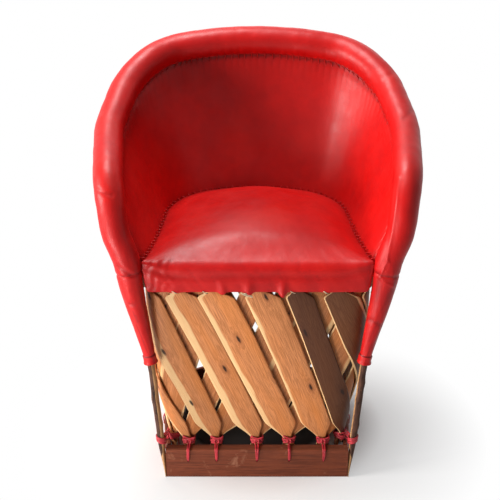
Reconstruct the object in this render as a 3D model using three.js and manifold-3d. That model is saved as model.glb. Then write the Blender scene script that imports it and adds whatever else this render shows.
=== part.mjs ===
// Equipale chair: a barrel chair of leather on bent rods, standing on a drum of crossed slats.
// Millimetres, +Z up, front towards -Y, origin at the bottom centre of the chair.
import * as THREE from 'three';
import { mergeVertices } from 'three/addons/utils/BufferGeometryUtils.js';
import Module from 'manifold-3d';

const wasm = await Module();
wasm.setup();

// Clearances and cuts
const seatedGap = 0.3;        // between two pieces that touch
const layerGap = 1.7;         // between the two layers of slats
const cutOverrun = 4;         // how far a cutting body runs past what it cuts

// Whole chair
const overallDepth = 500;
const rimHeight = 795;        // centre of the roll at the middle of the back
const rimHalfWidth = 283;     // centre of the roll at the widest place

// Base
const boardHalfWidth = 178;
const boardHeight = 62;
const boardThickness = 22;
const boardEdgeRadius = 3;
const boardSetback = 12;      // board's face behind the apron's face
const hoopEdgeRadius = 2;
const hoopThickness = 9;
const hoopHalfWidth = 178;    // at the board
const hoopWaistHalfWidth = 196;
const hoopBackY = 150;
const hoopWidestY = -20;

// Posts
const postRadius = 7.6;
const footHalfDepth = 9;
const footHalfWidth = 1.4;
const footTopHeight = 75;
const postSplay = 6;          // how far the post stands outwards of its foot, half way up to the cuff
const cuffSplay = 12;         // and at the cuff's lower end
const scarfRise = 46;         // middle of the joint between post and rim, above the seat hoop
const scarfLength = 30;

// Slats
// Split slats differ in width: the outer ones at the front, by their tie, and all the others.
const frontSlatWidths = { 0: 54, 1: 60, 2: 56, 3: 44, 13: 40, 14: 32, 15: 50 };
const slatFillShare = 0.79;   // of the distance between two ties
const slatWidthLimit = 60;
const slatThickness = 6;
const slatCrown = 1.4;        // outer face
const slatBackCrown = 0.4;    // inner face
const slatSetback = 0.8;      // outer layer behind the board and the hoop
const slatBow = 11;            // outwards, half way up
const slatTipWidth = 16;
const slatTipLength = 45;     // from the narrow tip to the full width
const slatTopTipLength = 18;
const slatTipOverlap = 14;    // how far a tip reaches past the edge it is tied to
const slatCornerRadius = 34;
const tieShiftCount = 2;      // a slat climbs to the second tie along
const sideTieCount = 9;
const slatSteps = 2;
const slatOutlineShares = [-1, 0, 1];
const slatTurnShares = [-1, -0.5, 0, 0.5, 1];
const slatTurnStep = 0.3;

// Ties, measured along the front board from its middle
const tieLeftInner = 79;
const tieLeftOuter = 134;
const tieRightInner = 63;
const tieRightOuter = 130;
const tieSpreadShare = 1.1;   // distances between the ties at the seat, to those at the base
const cornerTieShare = 0.75;  // of the way round the front corner

// Thongs
const thongThickness = 2.2;
const thongWidth = 6;
const thongBandHeight = 10;
const thongHoleRadius = 2.6;
const thongHoleDrop = 24;     // hole's centre below the board's top edge
const thongClearance = 0.5;
const strapLapShare = 0.9;    // of the thong's thickness, how far in the strap lies on the bands
const thongSlack = 1.2;       // round the leaning tips, in front of them and behind
const thongSideRoom = 3.3;   // beside a tip, where it leans
const tieRise = 5;            // where a pair of slats crosses, above the edge it is tied to

// Seat
const seatHeight = 432;       // top of the seat hoop
const seatHoopHeight = 22;
const seatHoopThickness = 14;
const seatFrontHalfWidth = 199;
const seatWaistHalfWidth = 181;
const seatBackY = 146;
const drumSetback = 13;       // outer face of the slats under the seat, behind the apron's face
const drumFrontHalfWidth = 209;
const drumWaistHalfWidth = 208;
const drumBackY = 158;
const seatWaistY = 10;
const planSquareness = 2.5;   // 2 is an ellipse, more is squarer
const matThickness = 4;
const matStripWidth = 28;
const matStripPitch = 46;
const apronDrop = 32;         // apron's hem below the top of the hoop
const apronHalfWidth = 203;
const apronFlare = 5;
const apronProud = 6;         // apron's face in front of the arm's middle line
const seatFrontEdgeRise = 27; // cushion's front edge above the hoop
const seatBackEdgeRise = 57;
const seatCrownHeight = 83;   // crown above the hoop
const seatCrownY = 15;
const seatEdgeRadius = 8;
const edgeTurnShare = 0.4;    // how far round the edge its middle ring stands
const crownStepShares = [0.12, 0.3, 0.52, 0.76];
const crownAcrossShare = 1.8; // powers of the crown's fall, across and from front to back
const crownDeepShare = 2.2;
const crownFullShare = 0.8;
const seatLeanLimit = 0.45;   // steepest lean of the cushion's side
const cushionGap = 0.8;       // cushion to the back's leather, across their facets
const cornerTrim = 3;         // rounds the cushion's front corners off, clear of the roll
const matBearing = 2;         // mat's edge inside the front of the rail, and past the hoop's middle

// Leather and padding
const leather = 2.4;
const rimRodRadius = 8.5;
const rollRadiusTop = 31;
const rollRadiusArm = 27.5;
const rollRadiusFront = 24;
const armHeight = 660;        // roll's middle line at the widest place
const cuffRadiusTop = 23.5;
const cuffRadiusLow = 10.6;
const cuffBandProud = 1.6;
const cuffLowHeight = 258;
const cuffBandHeight = 16;
const cuffTopRise = 3;        // top of the cuffs above the seat hoop
const paddingLowHeight = 322;
const shellLowRise = 30;      // lowest place where the back panels meet the roll, above the hoop
const boreClearance = 1.4;    // filling to the rod in it, across their facets
const paddingGap = 0.85;
const seamWidth = 1;
const panelTuck = 12;         // how far the panels reach into the roll
const panelGap = 0.7;         // panel to stave, across their facets
const slotClearance = 1.8;    // room beside the panels in the roll's slot
const panelHem = 20;          // outer panel's hem below the top of the hoop

// Staves between the two panels of the back
const staveCount = 7;
const staveThickness = 5;
const staveFoot = 20;         // how far a stave reaches below the top of the hoop
const staveFirstShare = 0.2;  // first stave's place along the rim
const staveEdgeShare = 0.12;  // stave's edge inside its strip of the back
const outTurnShare = 0.5;     // share of a ruling over which the back turns from upright to leaning

// Steps of the lofts
const rimSteps = 32;
const rimSamples = 600;
const bendLength = 90;        // a radian of bend counts as this length when steps are shared out
const rollSides = 10;
const seatPlanSteps = 26;
const wallSamples = 200;

// Places that follow from the sizes
const rimFrontY = -overallDepth / 2 + rollRadiusFront;
const rimBackY = overallDepth / 2 - rollRadiusTop;
const apronY = rimFrontY - apronProud;
const boardFaceY = apronY + boardSetback;
const boardBackY = boardFaceY + boardThickness;
const railFaceY = apronY + leather + seatedGap;
const drumFrontY = apronY + drumSetback;
const railThickness = seatHoopThickness + boardEdgeRadius;
const railBackY = railFaceY + railThickness;
const hoopUnderside = seatHeight - seatHoopHeight;
const apronHemZ = seatHeight - apronDrop;
const slatBottomZ = boardHeight - slatTipOverlap;
const slatTopZ = hoopUnderside - 2 * seatedGap;
const panelStack = staveThickness + 2 * (panelGap + leather);
const scarfHeight = seatHeight + scarfRise;
const cuffTopHeight = seatHeight + cuffTopRise;
const shellLowHeight = seatHeight + shellLowRise;
const seatEdgeZ = seatHeight + seatFrontEdgeRise;

const lerp = THREE.MathUtils.lerp;
const clamp01 = (value) => THREE.MathUtils.clamp(value, 0, 1);
const smooth = (value) => THREE.MathUtils.smoothstep(value, 0, 1);

const woods = {
  slat: new THREE.MeshStandardMaterial({ color: '#b87840', roughness: 0.6, metalness: 0 }),
  board: new THREE.MeshStandardMaterial({ color: '#7a4428', roughness: 0.6, metalness: 0 }),
  post: new THREE.MeshStandardMaterial({ color: '#6a4630', roughness: 0.7, metalness: 0 }),
};
const redLeather = new THREE.MeshStandardMaterial({ color: '#b8161a', roughness: 0.45, metalness: 0 });
const thongLeather = new THREE.MeshStandardMaterial({ color: '#6e1214', roughness: 0.6, metalness: 0 });
const filling = new THREE.MeshStandardMaterial({ color: '#d8ccae', roughness: 0.95, metalness: 0 });

const chair = new THREE.Group();

function place(name, geometry, material) {
  const mesh = new THREE.Mesh(geometry, material);
  mesh.name = name;
  chair.add(mesh);
}

// Solids from rings of points

function volumeOf(points, faces) {
  let sum = 0;
  for (const [a, b, c] of faces) {
    sum += points[a].dot(new THREE.Vector3().crossVectors(points[b], points[c]));
  }
  return sum / 6;
}

function solidFrom(points, faces) {
  const outward = volumeOf(points, faces) > 0;
  const geometry = new THREE.BufferGeometry();
  const flat = points.flatMap((point) => [point.x, point.y, point.z]);
  const wound = faces.flatMap(([a, b, c]) => (outward ? [a, b, c] : [a, c, b]));
  geometry.setAttribute('position', new THREE.Float32BufferAttribute(flat, 3));
  geometry.setIndex(wound);
  geometry.computeVertexNormals();
  return geometry;
}

// Two triangles for each place between two rows of points, split along the shorter diagonal.
function sideFaces(points, faces, lower, upper, count, closed) {
  for (let i = 0; i < (closed ? count : count - 1); i += 1) {
    const next = (i + 1) % count;
    const rising = points[lower + i].distanceTo(points[upper + next]);
    const falling = points[lower + next].distanceTo(points[upper + i]);
    if (rising < falling) {
      faces.push([lower + i, lower + next, upper + next], [lower + i, upper + next, upper + i]);
    } else {
      faces.push([lower + i, lower + next, upper + i], [lower + next, upper + next, upper + i]);
    }
  }
}

// A solid through a row of rings, capped at both ends. An outline is its ring drawn flat.
function loft(rings, firstOutline, lastOutline = firstOutline) {
  const count = firstOutline.length;
  const points = rings.flat();
  const faces = [];
  for (let k = 0; k + 1 < rings.length; k += 1) {
    sideFaces(points, faces, k * count, (k + 1) * count, count, true);
  }
  for (const [start, outline] of [[0, firstOutline], [(rings.length - 1) * count, lastOutline]]) {
    const flat = outline.map(([a, b]) => new THREE.Vector2(a, b));
    const outlineSign = Math.sign(THREE.ShapeUtils.area(flat));
    for (const [a, b, c] of THREE.ShapeUtils.triangulateShape(flat, [])) {
      const faceSign = Math.sign(THREE.ShapeUtils.area([flat[a], flat[b], flat[c]]));
      const turned = (faceSign === outlineSign) === (start > 0);
      faces.push(turned ? [start + a, start + b, start + c] : [start + a, start + c, start + b]);
    }
  }
  return solidFrom(points, faces);
}

const ringOn = (frame, outline) => outline.map(
  ([a, b]) => frame.p.clone().addScaledVector(frame.u, a).addScaledVector(frame.v, b));

// Sweeps an outline, given as [along u, along v] points, over frames with a place p and axes u and v.
function sweep(frames, outlineAt) {
  const outlines = frames.map((frame, k) => outlineAt(k));
  const rings = frames.map((frame, k) => ringOn(frame, outlines[k]));
  return loft(rings, outlines[0], outlines[outlines.length - 1]);
}

// A ring-shaped solid: the same outline swept round a closed path.
function sweepRound(frames, outline) {
  const count = outline.length;
  const points = frames.flatMap((frame) => ringOn(frame, outline));
  const faces = [];
  for (let k = 0; k < frames.length; k += 1) {
    sideFaces(points, faces, k * count, ((k + 1) % frames.length) * count, count, true);
  }
  return solidFrom(points, faces);
}

// A sheet between two grids of points of the same size.
function sheet(front, back) {
  const rows = front.length;
  const columns = front[0].length;
  const points = [...front.flat(), ...back.flat()];
  const faces = [];
  const other = rows * columns;
  for (let r = 0; r + 1 < rows; r += 1) {
    sideFaces(points, faces, r * columns, (r + 1) * columns, columns, false);
    const start = faces.length;
    sideFaces(points, faces, other + r * columns, other + (r + 1) * columns, columns, false);
    for (let f = start; f < faces.length; f += 1) {
      faces[f].reverse();
    }
  }
  const rim = [];
  for (let c = 0; c < columns - 1; c += 1) {
    rim.push(c);
  }
  for (let r = 0; r < rows - 1; r += 1) {
    rim.push(r * columns + columns - 1);
  }
  for (let c = columns - 1; c > 0; c -= 1) {
    rim.push((rows - 1) * columns + c);
  }
  for (let r = rows - 1; r > 0; r -= 1) {
    rim.push(r * columns);
  }
  rim.forEach((a, i) => {
    const b = rim[(i + 1) % rim.length];
    faces.push([a, other + b, b]);
    faces.push([a, other + a, other + b]);
  });
  return solidFrom(points, faces);
}

// Joins and cuts

function toManifold(geometry) {
  const bare = new THREE.BufferGeometry();
  bare.setAttribute('position', geometry.getAttribute('position').clone());
  bare.setIndex(geometry.getIndex());
  const merged = mergeVertices(bare);
  const triVerts = new Uint32Array(merged.getIndex().array);
  const vertProperties = new Float32Array(merged.getAttribute('position').array);
  return new wasm.Manifold(new wasm.Mesh({ numProp: 3, vertProperties, triVerts }));
}

function fromManifold(solid) {
  const mesh = solid.getMesh();
  const geometry = new THREE.BufferGeometry();
  geometry.setAttribute('position', new THREE.Float32BufferAttribute(mesh.vertProperties, 3));
  geometry.setIndex([...mesh.triVerts]);
  geometry.computeVertexNormals();
  return geometry;
}

const cut = (body, cutters) => fromManifold(
  cutters.reduce((left, cutter) => left.subtract(toManifold(cutter)), toManifold(body)));
const join = (bodies) => fromManifold(
  bodies.slice(1).reduce((whole, body) => whole.add(toManifold(body)), toManifold(bodies[0])));

// A block between two corners.
function block(low, high) {
  const size = high.clone().sub(low);
  const geometry = new THREE.BoxGeometry(size.x, size.y, size.z);
  geometry.translate(low.x + size.x / 2, low.y + size.y / 2, low.z + size.z / 2);
  return geometry;
}

// Plans: paths in the floor's plane, right front to back to left front

function bentPath({ frontHalf, waistHalf, frontY, waistY, backY }) {
  const right = [];
  for (let i = 0; i < seatPlanSteps; i += 1) {
    const share = i / seatPlanSteps;
    const flare = (frontHalf - waistHalf) * (1 - share) ** 2;
    right.push(new THREE.Vector3(waistHalf + flare, lerp(frontY, waistY, share), 0));
  }
  for (let i = 0; i <= seatPlanSteps; i += 1) {
    const angle = (i / seatPlanSteps) * Math.PI / 2;
    const x = waistHalf * Math.cos(angle) ** (2 / planSquareness);
    const y = lerp(waistY, backY, Math.sin(angle) ** (2 / planSquareness));
    right.push(new THREE.Vector3(i < seatPlanSteps ? x : 0, y, 0));
  }
  const left = right.slice(0, -1).reverse().map((point) => point.clone().setX(-point.x));
  return new THREE.CatmullRomCurve3([...right, ...left], false, 'centripetal');
}

// A place on a path, with the direction along it and the one that points out of the chair.
function onPath(path, share, inset = 0, z = 0) {
  const along = path.getTangentAt(share);
  const out = new THREE.Vector3(along.y, -along.x, 0).normalize();
  const p = path.getPointAt(share).addScaledVector(out, -inset).setZ(z);
  return { p, along, out };
}

// A closed path inside a bent path: straight across the front, round the corners and along the sides.
function closedPath(bent, inset, frontY) {
  const right = [];
  for (let i = 0; i <= 2 * seatPlanSteps; i += 1) {
    const { p } = onPath(bent, i / (4 * seatPlanSteps), inset);
    if (p.y > frontY + slatCornerRadius) {
      right.push(p);
    }
  }
  const corner = new THREE.Vector3(right[0].x - slatCornerRadius, frontY + slatCornerRadius, 0);
  const arc = [0, 0.25, 0.5, 0.75].map((turnShare) => {
    const angle = (turnShare - 1) * Math.PI / 2;
    const spoke = new THREE.Vector3(Math.cos(angle), Math.sin(angle), 0);
    return corner.clone().addScaledVector(spoke, slatCornerRadius);
  });
  const front = [0, 0.33, 0.66].map(
    (frontShare) => new THREE.Vector3(frontShare * corner.x, frontY, 0));
  const half = [...front, ...arc, ...right];
  half[half.length - 1].setX(0);
  const mirrored = half.slice(1, -1).reverse().map((point) => point.clone().setX(-point.x));
  const path = new THREE.CatmullRomCurve3([...half, ...mirrored], true, 'centripetal');
  path.arcLengthDivisions = 1200;
  path.frontHalf = corner.x + slatCornerRadius;
  return path;
}

// Outlines

function roundedOutline(halfU, halfV, radius, cornerSteps) {
  const points = [];
  [[1, 1, 0], [-1, 1, 1], [-1, -1, 2], [1, -1, 3]].forEach(([signU, signV, quarter]) => {
    for (let i = 0; i <= cornerSteps; i += 1) {
      const angle = (quarter + i / Math.max(cornerSteps, 1)) * Math.PI / 2;
      const u = signU * (halfU - radius) + radius * Math.cos(angle);
      const v = signV * (halfV - radius) + radius * Math.sin(angle);
      points.push([u, v]);
    }
  });
  return points;
}

function roundOutline(halfU, halfV, sides) {
  return Array.from({ length: sides }, (unused, i) => {
    const angle = (i / sides) * 2 * Math.PI;
    return [halfU * Math.cos(angle), halfV * Math.sin(angle)];
  });
}

// A tube's section with a slot that opens along u.
function slottedOutline(outer, inner, slotHalf) {
  const outline = [];
  for (const [radius, direction] of [[outer, 1], [inner, -1]]) {
    const lip = Math.asin(slotHalf / radius);
    const arc = Array.from({ length: rollSides + 1 }, (unused, i) => {
      const angle = lip + (i / rollSides) * (2 * Math.PI - 2 * lip);
      return [radius * Math.cos(angle), radius * Math.sin(angle)];
    });
    outline.push(...(direction > 0 ? arc : arc.reverse()));
  }
  return outline;
}

// Base

// The hoop's ends stand askew to the board by this much.
const baseHoopSlant = hoopThickness
  * (hoopWaistHalfWidth - hoopHalfWidth) / (hoopWidestY - boardBackY);
const baseBent = bentPath({
  frontHalf: hoopHalfWidth - hoopThickness / 2,
  waistHalf: hoopWaistHalfWidth - hoopThickness / 2,
  frontY: boardBackY + seatedGap + baseHoopSlant,
  waistY: hoopWidestY,
  backY: hoopBackY - hoopThickness / 2,
});
const up = new THREE.Vector3(0, 0, 1);
const acrossX = new THREE.Vector3(1, 0, 0);
const acrossY = new THREE.Vector3(0, 1, 0);

function hoopFrames(path, steps, z) {
  return Array.from({ length: steps + 1 }, (unused, i) => {
    const { p, out } = onPath(path, i / steps, 0, z);
    return { p, u: out, v: up };
  });
}

const baseLoop = closedPath(baseBent, hoopThickness / 2, boardBackY);

// Seat frame

// The hoop's ends stand askew to the rail by this much.
const seatHoopSlant = seatHoopThickness
  * (seatFrontHalfWidth - seatWaistHalfWidth) / (seatWaistY - railBackY);
const seatBent = bentPath({
  frontHalf: seatFrontHalfWidth - seatHoopThickness / 2,
  waistHalf: seatWaistHalfWidth - seatHoopThickness / 2,
  frontY: railBackY + seatedGap + seatHoopSlant,
  waistY: seatWaistY,
  backY: seatBackY - seatHoopThickness / 2,
});

// The slats' tops stand under the hoop and a little outside it.
const drumBent = bentPath({
  frontHalf: drumFrontHalfWidth,
  waistHalf: drumWaistHalfWidth,
  frontY: drumFrontY,
  waistY: seatWaistY,
  backY: drumBackY,
});
const seatLoop = closedPath(drumBent, 0, drumFrontY);

// Ties: distances round a closed path, the same count and order at the base and at the seat.

function tieShares(loop, spread) {
  const length = loop.getLength();
  const corner = loop.frontHalf + slatCornerRadius * (cornerTieShare * Math.PI / 2 - 1);
  const side = Array.from({ length: sideTieCount }, (unused, i) => (
    lerp(corner, length - corner, (i + 1) / (sideTieCount + 1))));
  const distances = [
    0, spread * tieRightInner, spread * tieRightOuter, corner,
    ...side,
    length - corner, length - spread * tieLeftOuter, length - spread * tieLeftInner];
  return distances.map((distance) => distance / length);
}

const baseTies = tieShares(baseLoop, 1);
const seatTies = tieShares(seatLoop, tieSpreadShare);
const tieCount = baseTies.length;
const tieAt = (ties, index) => (
  ties[THREE.MathUtils.euclideanModulo(index, tieCount)] + Math.floor(index / tieCount));

const wrap = (share) => THREE.MathUtils.euclideanModulo(share, 1);

// How much of a slat stands in its two thongs, where it is upright.
const slatHeight = slatTopZ - slatBottomZ;
const lowTipShare = (slatTipOverlap + tieRise + thongBandHeight / 2) / slatHeight;
const highTipShare = (slatTopZ - hoopUnderside + tieRise + thongBandHeight / 2 + 2 * seatedGap) / slatHeight;

// A place on the drum of slats: a share round it, a share up it and a depth into it.
function onDrum(round, climb, depth) {
  const low = onPath(baseLoop, wrap(round), depth);
  const high = onPath(seatLoop, wrap(round), depth);
  const splay = clamp01((climb - lowTipShare) / (1 - lowTipShare - highTipShare));
  return low.p.lerp(high.p, splay)
    .addScaledVector(low.out, slatBow * Math.sin(Math.PI * splay))
    .setZ(lerp(slatBottomZ, slatTopZ, climb));
}

// A slat fills most of the room between the ones beside it.
function slatWidthAt(index, lean) {
  if (lean < 0 && index in frontSlatWidths) {
    return frontSlatWidths[index];
  }
  const room = (tieAt(baseTies, index + 1) - tieAt(baseTies, index - 1)) * baseLoop.getLength() / 2;
  return Math.min(slatFillShare * room, slatWidthLimit);
}

function slat(index, lean, depth) {
  const slatWidth = slatWidthAt(index, lean);
  const low = tieAt(baseTies, index);
  const high = tieAt(seatTies, index + lean * tieShiftCount);
  const lowTie = (boardHeight + tieRise - slatBottomZ) / slatHeight;
  const highTie = (hoopUnderside - tieRise - slatBottomZ) / slatHeight;
  const roundAt = (climb) => low + (high - low) * (climb - lowTie) / (highTie - lowTie);
  const girthAt = (climb) => lerp(baseLoop.getLength(), seatLoop.getLength(), climb);
  const taper = slatTipLength / slatHeight;
  const topTaper = slatTopTipLength / slatHeight;
  // How far the drum turns between the slat's outermost edges.
  const edge = lean * slatWidth / 2 / baseLoop.getLength();
  const lowAlong = baseLoop.getTangentAt(wrap(roundAt(lowTipShare) - edge));
  const turn = lowAlong.angleTo(baseLoop.getTangentAt(wrap(roundAt(1 - highTipShare) + edge)));
  const steps = slatSteps + Math.ceil(turn / slatTurnStep);
  const climbs = [0, lowTipShare, lowTipShare + taper / 2];
  for (let i = 0; i <= steps; i += 1) {
    climbs.push(lerp(lowTipShare + taper, 1 - highTipShare - topTaper, i / steps));
  }
  climbs.push(1 - highTipShare, 1);
  const outlineShares = turn > slatTurnStep ? slatTurnShares : slatOutlineShares;
  const rings = climbs.map((climb) => {
    const full = Math.min((climb - lowTipShare) / taper, (1 - highTipShare - climb) / topTaper);
    const half = lerp(slatTipWidth, slatWidth, smooth(full)) / 2;
    const outer = outlineShares.map((share) => onDrum(
      roundAt(climb) + share * half / girthAt(climb), climb, depth + slatCrown * share ** 2));
    const inner = outlineShares.map((share) => onDrum(
      roundAt(climb) + share * half / girthAt(climb), climb,
      depth + slatThickness - slatBackCrown * share ** 2));
    return [...outer, ...inner.reverse()];
  });
  const outline = [
    ...outlineShares.map((share) => [share * slatWidth, slatCrown * share ** 2]),
    ...outlineShares.map((share) => [share * slatWidth, slatThickness - slatBackCrown * share ** 2])
      .reverse()];
  return loft(rings, outline);
}

const twoDigits = (index) => String(index + 1).padStart(2, '0');
const innerLayer = slatSetback + slatThickness + layerGap;
for (let i = 0; i < tieCount; i += 1) {
  place(`outer_slat_${twoDigits(i)}`, slat(i, -1, slatSetback), woods.slat);
  place(`inner_slat_${twoDigits(i)}`, slat(i, 1, innerLayer), woods.slat);
}

// Thongs round each pair of tips

const thongInside = innerLayer + slatThickness + thongSlack;
const holeZ = boardHeight - thongHoleDrop;

// A frame at a tie: x along the drum, y into it, z up from the floor.
function tieFrame(loop, share) {
  const { p, along, out } = onPath(loop, wrap(share));
  return new THREE.Matrix4().makeBasis(along, out.clone().negate(), up).setPosition(p);
}

function thongBand(lowZ) {
  const half = slatTipWidth / 2 + thongSideRoom;
  const front = slatSetback - thongSlack;
  const outside = block(
    new THREE.Vector3(-half - thongThickness, front - thongThickness, lowZ),
    new THREE.Vector3(half + thongThickness, thongInside + thongThickness, lowZ + thongBandHeight));
  const inside = block(
    new THREE.Vector3(-half, front, lowZ - cutOverrun),
    new THREE.Vector3(half, thongInside, lowZ + thongBandHeight + cutOverrun));
  return cut(outside, [inside]);
}

// From the band over the edge and down the outer face to the hole, and through it to the strap inside.
function thongTail(wall) {
  const top = boardHeight + seatedGap;
  const face = -wall - seatedGap;
  const profile = new THREE.Shape([
    new THREE.Vector2(slatSetback - thongSlack, top),
    new THREE.Vector2(slatSetback - thongSlack, top + thongThickness),
    new THREE.Vector2(face - thongThickness, top + thongThickness),
    new THREE.Vector2(face - thongThickness, holeZ - thongWidth / 2),
    new THREE.Vector2(face, holeZ - thongWidth / 2),
    new THREE.Vector2(face, top)]);
  const strip = new THREE.ExtrudeGeometry(profile, { depth: thongWidth, bevelEnabled: false, steps: 1 });
  strip.applyMatrix4(new THREE.Matrix4().makeBasis(acrossY, up, acrossX));
  strip.translate(-thongWidth / 2, 0, 0);
  const reach = wall + thongInside + 2 * thongThickness;
  const pin = new THREE.CylinderGeometry(
    thongHoleRadius - thongClearance, thongHoleRadius - thongClearance, reach, 6);
  pin.translate(0, reach / 2 + face - thongThickness / 2, holeZ);
  return join([strip, pin]);
}

function thongStrap(loop, ties, z, height) {
  const frames = Array.from({ length: 2 * tieCount }, (unused, i) => {
    const share = (tieAt(ties, Math.floor(i / 2)) + tieAt(ties, Math.ceil(i / 2))) / 2;
    const { p, out } = onPath(loop, wrap(share), thongInside + thongThickness * strapLapShare, z);
    return { p, u: out, v: up };
  });
  return sweepRound(frames, roundedOutline(thongThickness / 2, height / 2, 0, 0));
}

const isFront = (index) => index <= 2 || index >= tieCount - 2;
const isCorner = (index) => index === 3 || index === tieCount - 3;

// Wood between a tie and the outer face of the base, along the tie's thong.
function wallAt(index) {
  if (!isCorner(index)) {
    return isFront(index) ? boardThickness : hoopThickness;
  }
  const { p, out } = onPath(baseLoop, wrap(baseTies[index]));
  const toRight = new THREE.Vector3(Math.abs(p.x), p.y, 0);
  const ray = new THREE.Vector3(Math.abs(out.x), out.y, 0);
  const faces = Array.from({ length: wallSamples }, (unused, i) => {
    const face = onPath(baseBent, i / wallSamples / 4, -hoopThickness / 2).p.sub(toRight);
    return { beside: Math.abs(face.x * ray.y - face.y * ray.x), reach: face.dot(ray) };
  });
  const nearest = faces.reduce((best, face) => (face.beside < best.beside ? face : best));
  const slant = Math.abs(out.y / out.x) * thongWidth / 2;
  return nearest.reach + slant;
}

const baseBands = [];
const baseHoles = [];
const seatBands = [];
for (let i = 0; i < tieCount; i += 1) {
  const low = tieFrame(baseLoop, baseTies[i]);
  const wall = wallAt(i);
  baseBands.push(thongBand(boardHeight + seatedGap).applyMatrix4(low));
  baseBands.push(thongTail(wall).applyMatrix4(low));
  const hole = new THREE.CylinderGeometry(thongHoleRadius, thongHoleRadius, wall + 2 * cutOverrun, 8);
  hole.translate(0, -wall / 2, holeZ);
  baseHoles.push(hole.applyMatrix4(low));
  const high = tieFrame(seatLoop, seatTies[i]);
  seatBands.push(thongBand(hoopUnderside - seatedGap - thongBandHeight).applyMatrix4(high));
}
place('base_lacing', join([thongStrap(baseLoop, baseTies, holeZ, thongWidth), ...baseBands]), thongLeather);
const seatStrapZ = hoopUnderside - seatedGap - thongBandHeight / 2;
const seatStrap = thongStrap(seatLoop, seatTies, seatStrapZ, thongWidth);
place('seat_lacing', join([seatStrap, ...seatBands]), thongLeather);

const boardFrames = [-boardHalfWidth, boardHalfWidth].map((x) => ({
  p: new THREE.Vector3(x, boardFaceY + boardThickness / 2, boardHeight / 2), u: acrossY, v: up }));
const boardOutline = roundedOutline(boardThickness / 2, boardHeight / 2, boardEdgeRadius, 2);
place('base_front_board', cut(sweep(boardFrames, () => boardOutline), baseHoles), woods.board);
const hoopOutline = roundedOutline(hoopThickness / 2, boardHeight / 2, hoopEdgeRadius, 1);
const baseHoopBody = sweep(hoopFrames(baseBent, 32, boardHeight / 2), () => hoopOutline);
place('base_hoop', cut(baseHoopBody, baseHoles), woods.board);

const seatHoopOutline = roundedOutline(
  seatHoopThickness / 2, seatHoopHeight / 2, hoopEdgeRadius, 1);
const seatHoopFrames = hoopFrames(seatBent, 32, seatHeight - seatHoopHeight / 2);
place('seat_hoop', sweep(seatHoopFrames, () => seatHoopOutline), woods.board);

// Rim: the middle line of the posts and of the roll, right foot to back to left foot

const footX = boardHalfWidth + seatedGap + postRadius;
const footY = boardFaceY + footHalfDepth;
const bandTop = cuffLowHeight + cuffBandHeight;
const cuffShare = (z) => clamp01((z - bandTop) / (cuffTopHeight - bandTop));
const cuffRadiusAt = (z) => lerp(cuffRadiusLow, cuffRadiusTop, cuffShare(z));

// Places of the rim as shares: of the half width, from front to back, and from the seat up.
const rimShares = [
  [0.883, 0.010, 0.215], [0.908, 0.040, 0.350], [0.933, 0.100, 0.441], [0.954, 0.190, 0.496],
  [0.982, 0.328, 0.556], [1, 0.463, 0.623], [0.975, 0.599, 0.705], [0.926, 0.734, 0.799],
  [0.784, 0.869, 0.904], [0.625, 0.953, 0.953], [0.353, 0.986, 0.986]];

const rimRight = [
  new THREE.Vector3(footX, footY, footTopHeight),
  new THREE.Vector3(
    footX + postSplay, (footY + rimFrontY) / 2, (footTopHeight + cuffLowHeight) / 2),
  new THREE.Vector3(footX + cuffSplay, rimFrontY, cuffLowHeight),
  new THREE.Vector3(
    apronHalfWidth + 2 * seatedGap + cuffRadiusAt(apronHemZ), rimFrontY, apronHemZ),
  new THREE.Vector3(
    apronHalfWidth + apronFlare + 2 * seatedGap + rollRadiusFront, rimFrontY, seatEdgeZ),
  ...rimShares.map(([across, back, rise]) => new THREE.Vector3(
    across * rimHalfWidth, lerp(rimFrontY, rimBackY, back), lerp(seatHeight, rimHeight, rise))),
];
const rimLeft = rimRight.map((point) => point.clone().setX(-point.x)).reverse();
const rimPath = new THREE.CatmullRomCurve3(
  [...rimRight, new THREE.Vector3(0, rimBackY, rimHeight), ...rimLeft], false, 'centripetal');
rimPath.arcLengthDivisions = rimSamples;

// Share of the rim's path at a height of the right arm.
function rimShareAt(z) {
  let low = 0;
  let high = 0.5;
  for (let i = 0; i < rimSamples; i += 1) {
    const middle = (low + high) / 2;
    if (rimPath.getPointAt(middle).z < z) {
      low = middle;
    } else {
      high = middle;
    }
  }
  return (low + high) / 2;
}

// Steps along the part of the rim that carries the back, closer together where it bends.
function shellShares() {
  const start = rimShareAt(shellLowHeight);
  const samples = Array.from({ length: rimSamples + 1 }, (unused, i) => (
    lerp(start, 1 - start, i / rimSamples)));
  const weights = [0];
  for (let i = 1; i <= rimSamples; i += 1) {
    const length = (samples[i] - samples[i - 1]) * rimPath.getLength();
    const bend = rimPath.getTangentAt(samples[i]).angleTo(rimPath.getTangentAt(samples[i - 1]));
    weights.push(weights[i - 1] + length + bend * bendLength);
  }
  const right = Array.from({ length: rimSteps / 2 }, (unused, k) => (
    samples[weights.findIndex((weight) => weight >= (k / rimSteps) * weights[rimSamples])]));
  return [...right, 0.5, ...right.map((share) => 1 - share).reverse()];
}
const shellSteps = shellShares();

// How far round the seat each step of the rim stands, by the rim's length seen from above.
const planLengths = shellSteps.reduce((lengths, share, k) => {
  if (k > 0) {
    const from = rimPath.getPointAt(shellSteps[k - 1]).setZ(0);
    lengths.push(lengths[k - 1] + from.distanceTo(rimPath.getPointAt(share).setZ(0)));
  }
  return lengths;
}, [0]);
const shellInset = seatHoopThickness / 2 / seatBent.getLength();
const seatOutset = seatHoopThickness / 2 + panelGap + staveThickness / 2;

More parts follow.
